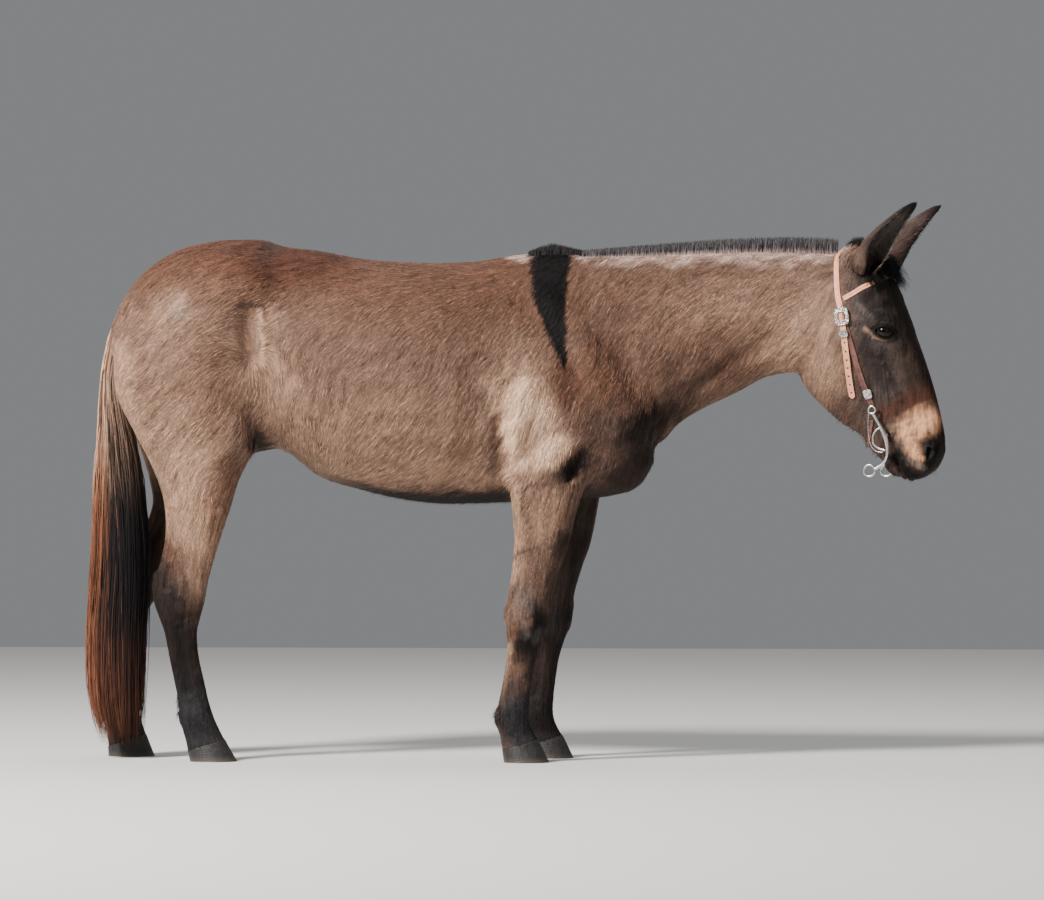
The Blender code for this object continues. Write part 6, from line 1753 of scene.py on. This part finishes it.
def leather_material(name, worn, dark, roughness):
    """Oiled leather: pebbled grain, mottled with wear."""
    return new_material(name, {"Roughness": roughness, "Specular IOR Level": 0.5}, {
        "mottle": ("TexNoise", {"Scale": 70, "Detail": 6}),
        "tones": ("ValToRGB", ((0.3, dark), (0.7, worn))),
        "grain": ("TexVoronoi", {"Scale": 900}),
        "bump": ("Bump", {"Strength": 0.35, "Distance": 0.0004}),
    }, (
        "place.Object.mottle.Vector", "place.Object.grain.Vector", "mottle.Fac.tones.Fac",
        "tones.Color.shader.Base Color", "grain.Distance.bump.Height", "bump.Normal.shader.Normal",
    ))


def strap_line(path):
    """Places and outward directions along a strap that lies on the head."""
    rows = smoothed([(u, v, w, u, w, lift) for u, v, w, lift in path], STRAP_STEP)
    places, normals = [], []
    for u, v, w, _, _, lift in rows:
        place, normal = skin_tree.find_nearest(head_place(u, v, w))[:2]
        places.append(place)
        normals.append(normal if normal.dot(place - head_place(u * 0.6 + 0.05, 0, w)) > 0 else -normal)
    for _ in range(STRAP_EASING):
        beside = zip([normals[0]] + normals[:-1], normals, normals[1:] + [normals[-1]])
        normals = [(a + b + c).normalized() for a, b, c in beside]
        inner = [(a + 2 * b + c) / 4 for a, b, c in zip(places, places[1:], places[2:])]
        places = [places[0], *inner, places[-1]]
    places = [place + normal * COAT_DEPTH["head"] for place, normal in zip(places, normals)]
    return places, normals, [row[5] for row in rows]


def whole_path(path):
    """The strap's path on both sides of the head."""
    mirrored = [(u, -v, w, lift) for u, v, w, lift in path[::-1]]
    return mirrored[:-1] + list(path) if path[0][1] == 0 else list(path[:-1]) + mirrored


def strap(name, path, width, material, aside=0.0, pointed=False):
    """A strap with rounded edges and a low crest along each edge, that follows the path on the head."""
    places, normals, lifts = strap_line(path)
    bm = bmesh.new()
    ring = bmesh.ops.create_circle(bm, segments=12, radius=1)["verts"]
    first = ring
    for i, (place, normal, lift) in enumerate(zip(places, normals, lifts)):
        tangent = (places[min(len(places) - 1, i + 1)] - places[max(0, i - 1)]).normalized()
        across = tangent.cross(normal).normalized()
        to_end = min(i, len(places) - 1 - i) * STRAP_STEP
        slim = min(1.0, 0.18 + to_end / STRAP_POINT) if pointed else 1.0
        reach = width / 2 * slim
        edge = min(STRAP_EDGE, reach * 0.4)
        top = lift + STRAP_WALL
        low = lift if lift > STRAP_CREST else -STRAP_SINK
        rim = [(reach, low + edge), (reach, top - edge), (reach - edge * 0.4, top - edge * 0.3),
               (reach - edge, top), (reach - 2.6 * edge, top - STRAP_CREST * slim)]
        shape = [*rim, (0, top - STRAP_CREST * 0.4), *[(-a, out) for a, out in rim[::-1]], (0, low)]
        if i:
            ring = next_ring(bm, ring)
        for vert, (a, out) in zip(ring, shape):
            vert.co = place + across * (a + aside) + normal * out
    bmesh.ops.contextual_create(bm, geom=first)
    bmesh.ops.contextual_create(bm, geom=ring)
    face_outwards(bm)
    made = new_object(name, bm, material)
    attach(made, "root")
    return made


russet = leather_material("strap_russet", (0.9, 0.42, 0.255), (0.68, 0.255, 0.14), 0.45)
# The cheekpieces and the curb strap take a darker copy of the russet leather: painted shade for the shadow
# they lie in.
shaded_russet = leather_material("strap_russet_shaded", (0.19, 0.075, 0.058), (0.08, 0.028, 0.022), 0.48)
crown = strap("crown_strap", whole_path(CROWN_PATH), 0.018, russet, pointed=True)
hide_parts("crownpiece")
for number, aside in enumerate((-0.0037, 0.0037)):
    brow = strap(f"brow_strap_{number + 1}", whole_path(BROW_PATH), 0.0066, russet, aside=aside)
    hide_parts("browband")
curb = strap("curb_chin_strap", whole_path(CURB_PATH), 0.01, shaded_russet)
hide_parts("curb_strap")
for side, word in SIDES:
    path = [(u, -side * v, w, lift) for u, v, w, lift in CHEEK_PATH]
    cheek = strap(f"cheek_strap_{word}", path, 0.016, shaded_russet)
    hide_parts(f"cheekpiece_{word}")

# The bit and the fittings are bright steel, worn soft at the edges.
polished = new_material("bit_steel", {"Metallic": 1.0, "Base Color": (0.7, 0.69, 0.67, 1)}, {
    "smudge": ("TexNoise", {"Scale": 120, "Detail": 5}),
    "sheen": ("MapRange", {"To Min": 0.16, "To Max": 0.42}),
}, ("place.Object.smudge.Vector", "smudge.Fac.sheen.Value", "sheen.Result.shader.Roughness"))
BIT_BAR = (0.168, -0.503)
BIT_SIDE = 0.07
BAR_RADIUS = 0.006
RING_STEPS = 36
# Along the shank and the loop behind it: u, w and radius
SHANK = metres((
    (133, -440, 5), (145, -460, 4.4), (158, -483, 5), (168, -503, 6.2), (174, -525, 5.6), (176, -545, 4.6),
    (173, -566, 4.2), (163, -583, 4.2), (148, -594, 4.5), (137, -600, 4.8),
))
SHANK_LOOP = metres((
    (158, -480, 3), (142, -488, 2.8), (132, -506, 2.8), (135, -528, 2.8), (150, -540, 2.8),
    (170, -546, 3.2),
))
# The rings: u, w, radius, thickness
BIT_RINGS = metres((
    (129, -430, 10.5, 2.8), (121, -604, 16.5, 3),
))


def rod(bm, points, radii, sides=14, closed=False):
    """A round bar along the points, in this mesh. A closed one is a ring."""
    ring = bmesh.ops.create_circle(bm, segments=sides, radius=1)["verts"]
    first = ring
    across = None
    for i, point in enumerate(points):
        ahead = points[(i + 1) % len(points)] if closed or i + 1 < len(points) else point
        behind = points[i - 1] if closed or i else point
        way = (ahead - behind).normalized()
        across = (across or way.orthogonal()).normalized()
        across = (across - way * across.dot(way)).normalized()
        other = way.cross(across)
        if i:
            ring = next_ring(bm, ring)
        for k, vert in enumerate(ring):
            angle = 2 * math.pi * k / sides
            vert.co = point + (across * math.cos(angle) + other * math.sin(angle)) * radii[i]
    if closed:
        bmesh.ops.bridge_loops(bm, edges=ring_edges(first) + ring_edges(ring))
        return
    for end in (first, ring):
        bmesh.ops.contextual_create(bm, geom=end)


bm = bmesh.new()
bar = [head_place(BIT_BAR[0], v, BIT_BAR[1]) for v in np.linspace(-BIT_SIDE, BIT_SIDE, 12)]
rod(bm, bar, [BAR_RADIUS] * len(bar))
for side in (-1, 1):
    for path in (SHANK, SHANK_LOOP):
        rows = smoothed([(u, w, radius) for u, w, radius in path], 0.003)
        rod(bm, [head_place(u, side * BIT_SIDE, w) for u, w, _ in rows], [row[2] for row in rows])
    for u, w, radius, thick in BIT_RINGS:
        turns = [2 * math.pi * k / RING_STEPS for k in range(RING_STEPS)]
        places = [head_place(u + radius * math.cos(turn), side * BIT_SIDE, w + radius * math.sin(turn))
                  for turn in turns]
        rod(bm, places, [thick] * RING_STEPS, sides=12, closed=True)
face_outwards(bm)
bit = new_object("bit_and_shanks", bm, polished)
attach(bit, "root")
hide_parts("bit")

# Cast silver fittings: a worn scroll pattern in low relief, dark where polish can't reach.
cast = polished.copy()
cast.name = "cast_silver"
add_nodes(cast, {
    "scroll": ("TexVoronoi", {"Scale": 230}, ("feature", "SMOOTH_F1")),
    "tarnish": ("ValToRGB", ((0.15, (0.86, 0.85, 0.84)), (0.6, (0.3, 0.28, 0.27)))),
    "bump": ("Bump", {"Strength": 0.8, "Distance": 0.0009}, ("invert", True)),
}, (
    "place.Object.scroll.Vector", "scroll.Distance.tarnish.Fac", "tarnish.Color.shader.Base Color",
    "scroll.Distance.bump.Height", "bump.Normal.shader.Normal",
))
for node in ("buckle", "keeper", "ferrule"):
    for word in ("right", "left"):
        fitting = bpy.data.objects[f"{node}_{word}"]
        fitting.data.materials.clear()
        fitting.data.materials.append(cast)

# A thin curb chain hangs from the cheekpiece's loop behind each shank, and a tongue crosses
# each buckle. The crown strap's free end has a row of punched holes.
CHAIN = metres((
    (122, -436), (119, -462), (120, -500), (127, -530), (143, -548), (165, -552),
))
CHAIN_LINK = 0.0042
CHAIN_RADII = (0.0017, 0.0009)
TONGUE_RADII = (0.0016, 0.0018, 0.0013)
TONGUE = metres((
    (48.5, 104, -128), (51, 106, -150), (53, 104, -172),
))
HOLES = 7
HOLE_STEP = 6
HOLE_RADIUS = 0.0021
bm = bmesh.new()
for side in (-1, 1):
    rows = smoothed([(u, w, 0) for u, w in CHAIN], CHAIN_LINK)
    rod(bm, [head_place(u, side * (BIT_SIDE + 0.004), w) for u, w, _ in rows],
        [CHAIN_RADII[i % 2] for i in range(len(rows))], sides=8)
    rod(bm, [head_place(u, side * v, w) for u, v, w in TONGUE], TONGUE_RADII, sides=10)
face_outwards(bm)
chain = new_object("curb_chain", bm, polished)
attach(chain, "root")

# The punched holes are shallow dark discs on the strap: their colour paints the shade inside each hole and
# its darker cut edge.
hole_shade = leather_material("hole_edge_and_shade", (0.03, 0.014, 0.01), (0.012, 0.007, 0.006), 0.8)


def across_head(point):
    """The matching place on the head's other side."""
    u, v, w = in_head(np.array([point]))[0]
    return head_place(u, -v, w)


places, normals, lifts = strap_line(CROWN_PATH)
bm = bmesh.new()
lowest_hole = len(places) - HOLE_STEP
for i in range(lowest_hole, lowest_hole - HOLES * HOLE_STEP, -HOLE_STEP):
    base = places[i] + normals[i] * (lifts[i] + STRAP_WALL)
    for low, high in ((base, base + normals[i]), (across_head(base), across_head(base + normals[i]))):
        way = (high - low).normalized()
        turn = way.to_track_quat("Z", "Y").to_matrix().to_4x4()
        turn.translation = low + way * 0.0001
        made = bmesh.ops.create_cone(bm, cap_ends=True, segments=12, radius1=HOLE_RADIUS * 1.3,
                                     radius2=HOLE_RADIUS, depth=0.0006, matrix=turn)["verts"]
        faces = each_once(face for vert in made for face in vert.link_faces)
        top = max(faces, key=lambda face: (face.calc_center_median() - low).dot(way))
        bmesh.ops.inset_region(bm, faces=[top], thickness=0.0005, depth=-0.0004)
holes = new_object("strap_holes", bm, hole_shade)
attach(holes, "root")

# The studio: a pale floor, a broad soft key from the side of the tail, a fill beside the
# camera and a cool light from above.
FLOOR_SIZE = 9.0
# Each light: its place, what it points at, its size, power and colour
LIGHTS = (
    ("key", (-4.6, -5.0, 6.0), (0.0, 0.0, 0.9), (1.6, 1.6), 1680, (1.0, 0.965, 0.92)),
    ("fill", (4.6, -6.5, 2.6), (0.1, 0.0, 0.8), (4.0, 3.0), 40, (0.95, 0.97, 1.0)),
    ("top", (0.4, 1.6, 5.2), (0.0, 0.0, 1.0), (4.0, 3.0), 90, (1.0, 0.99, 0.97)),
)
STUDIO_GREY = 0.24
CAMERA_TARGET = Vector((0.025, 0.0, 0.899))
CAMERA_DISTANCE = 16.0
CAMERA_TURN = math.radians(4)
METRES_PER_PIXEL = 0.0029
IMAGE_WIDTH = 1044
FILM_WIDTH = 36.0

bm = bmesh.new()
bmesh.ops.create_grid(bm, x_segments=1, y_segments=1, size=FLOOR_SIZE)
paper = new_material("floor_paper", {"Base Color": (0.72, 0.71, 0.69, 1), "Roughness": 0.85})
floor = new_object("floor", bm, paper)

for name, place, target, (width, height), power, colour in LIGHTS:
    lamp = bpy.data.lights.new(name, "AREA")
    lamp.shape = "RECTANGLE"
    lamp.size, lamp.size_y = width, height
    lamp.energy = power
    lamp.color = colour
    holder = bpy.data.objects.new(name, lamp)
    holder.location = place
    holder.rotation_euler = (Vector(target) - Vector(place)).to_track_quat("-Z", "Y").to_euler()
    bpy.context.scene.collection.objects.link(holder)
world = bpy.data.worlds.new("studio")
world.use_nodes = True
sky = world.node_tree.nodes["Background"]
sky.inputs["Color"].default_value = (0.93, 0.96, 1.0, 1)
sky.inputs["Strength"].default_value = STUDIO_GREY
bpy.context.scene.world = world

camera = bpy.data.objects.new("camera", bpy.data.cameras.new("camera"))
camera.data.sensor_width = FILM_WIDTH
camera.data.lens = FILM_WIDTH * CAMERA_DISTANCE / METRES_PER_PIXEL / IMAGE_WIDTH
away = Vector((math.sin(CAMERA_TURN), -math.cos(CAMERA_TURN), 0))
camera.location = CAMERA_TARGET + away * CAMERA_DISTANCE
camera.rotation_euler = (-away).to_track_quat("-Z", "Y").to_euler()
camera.data.clip_end = 60
bpy.context.scene.collection.objects.link(camera)
bpy.context.scene.camera = camera
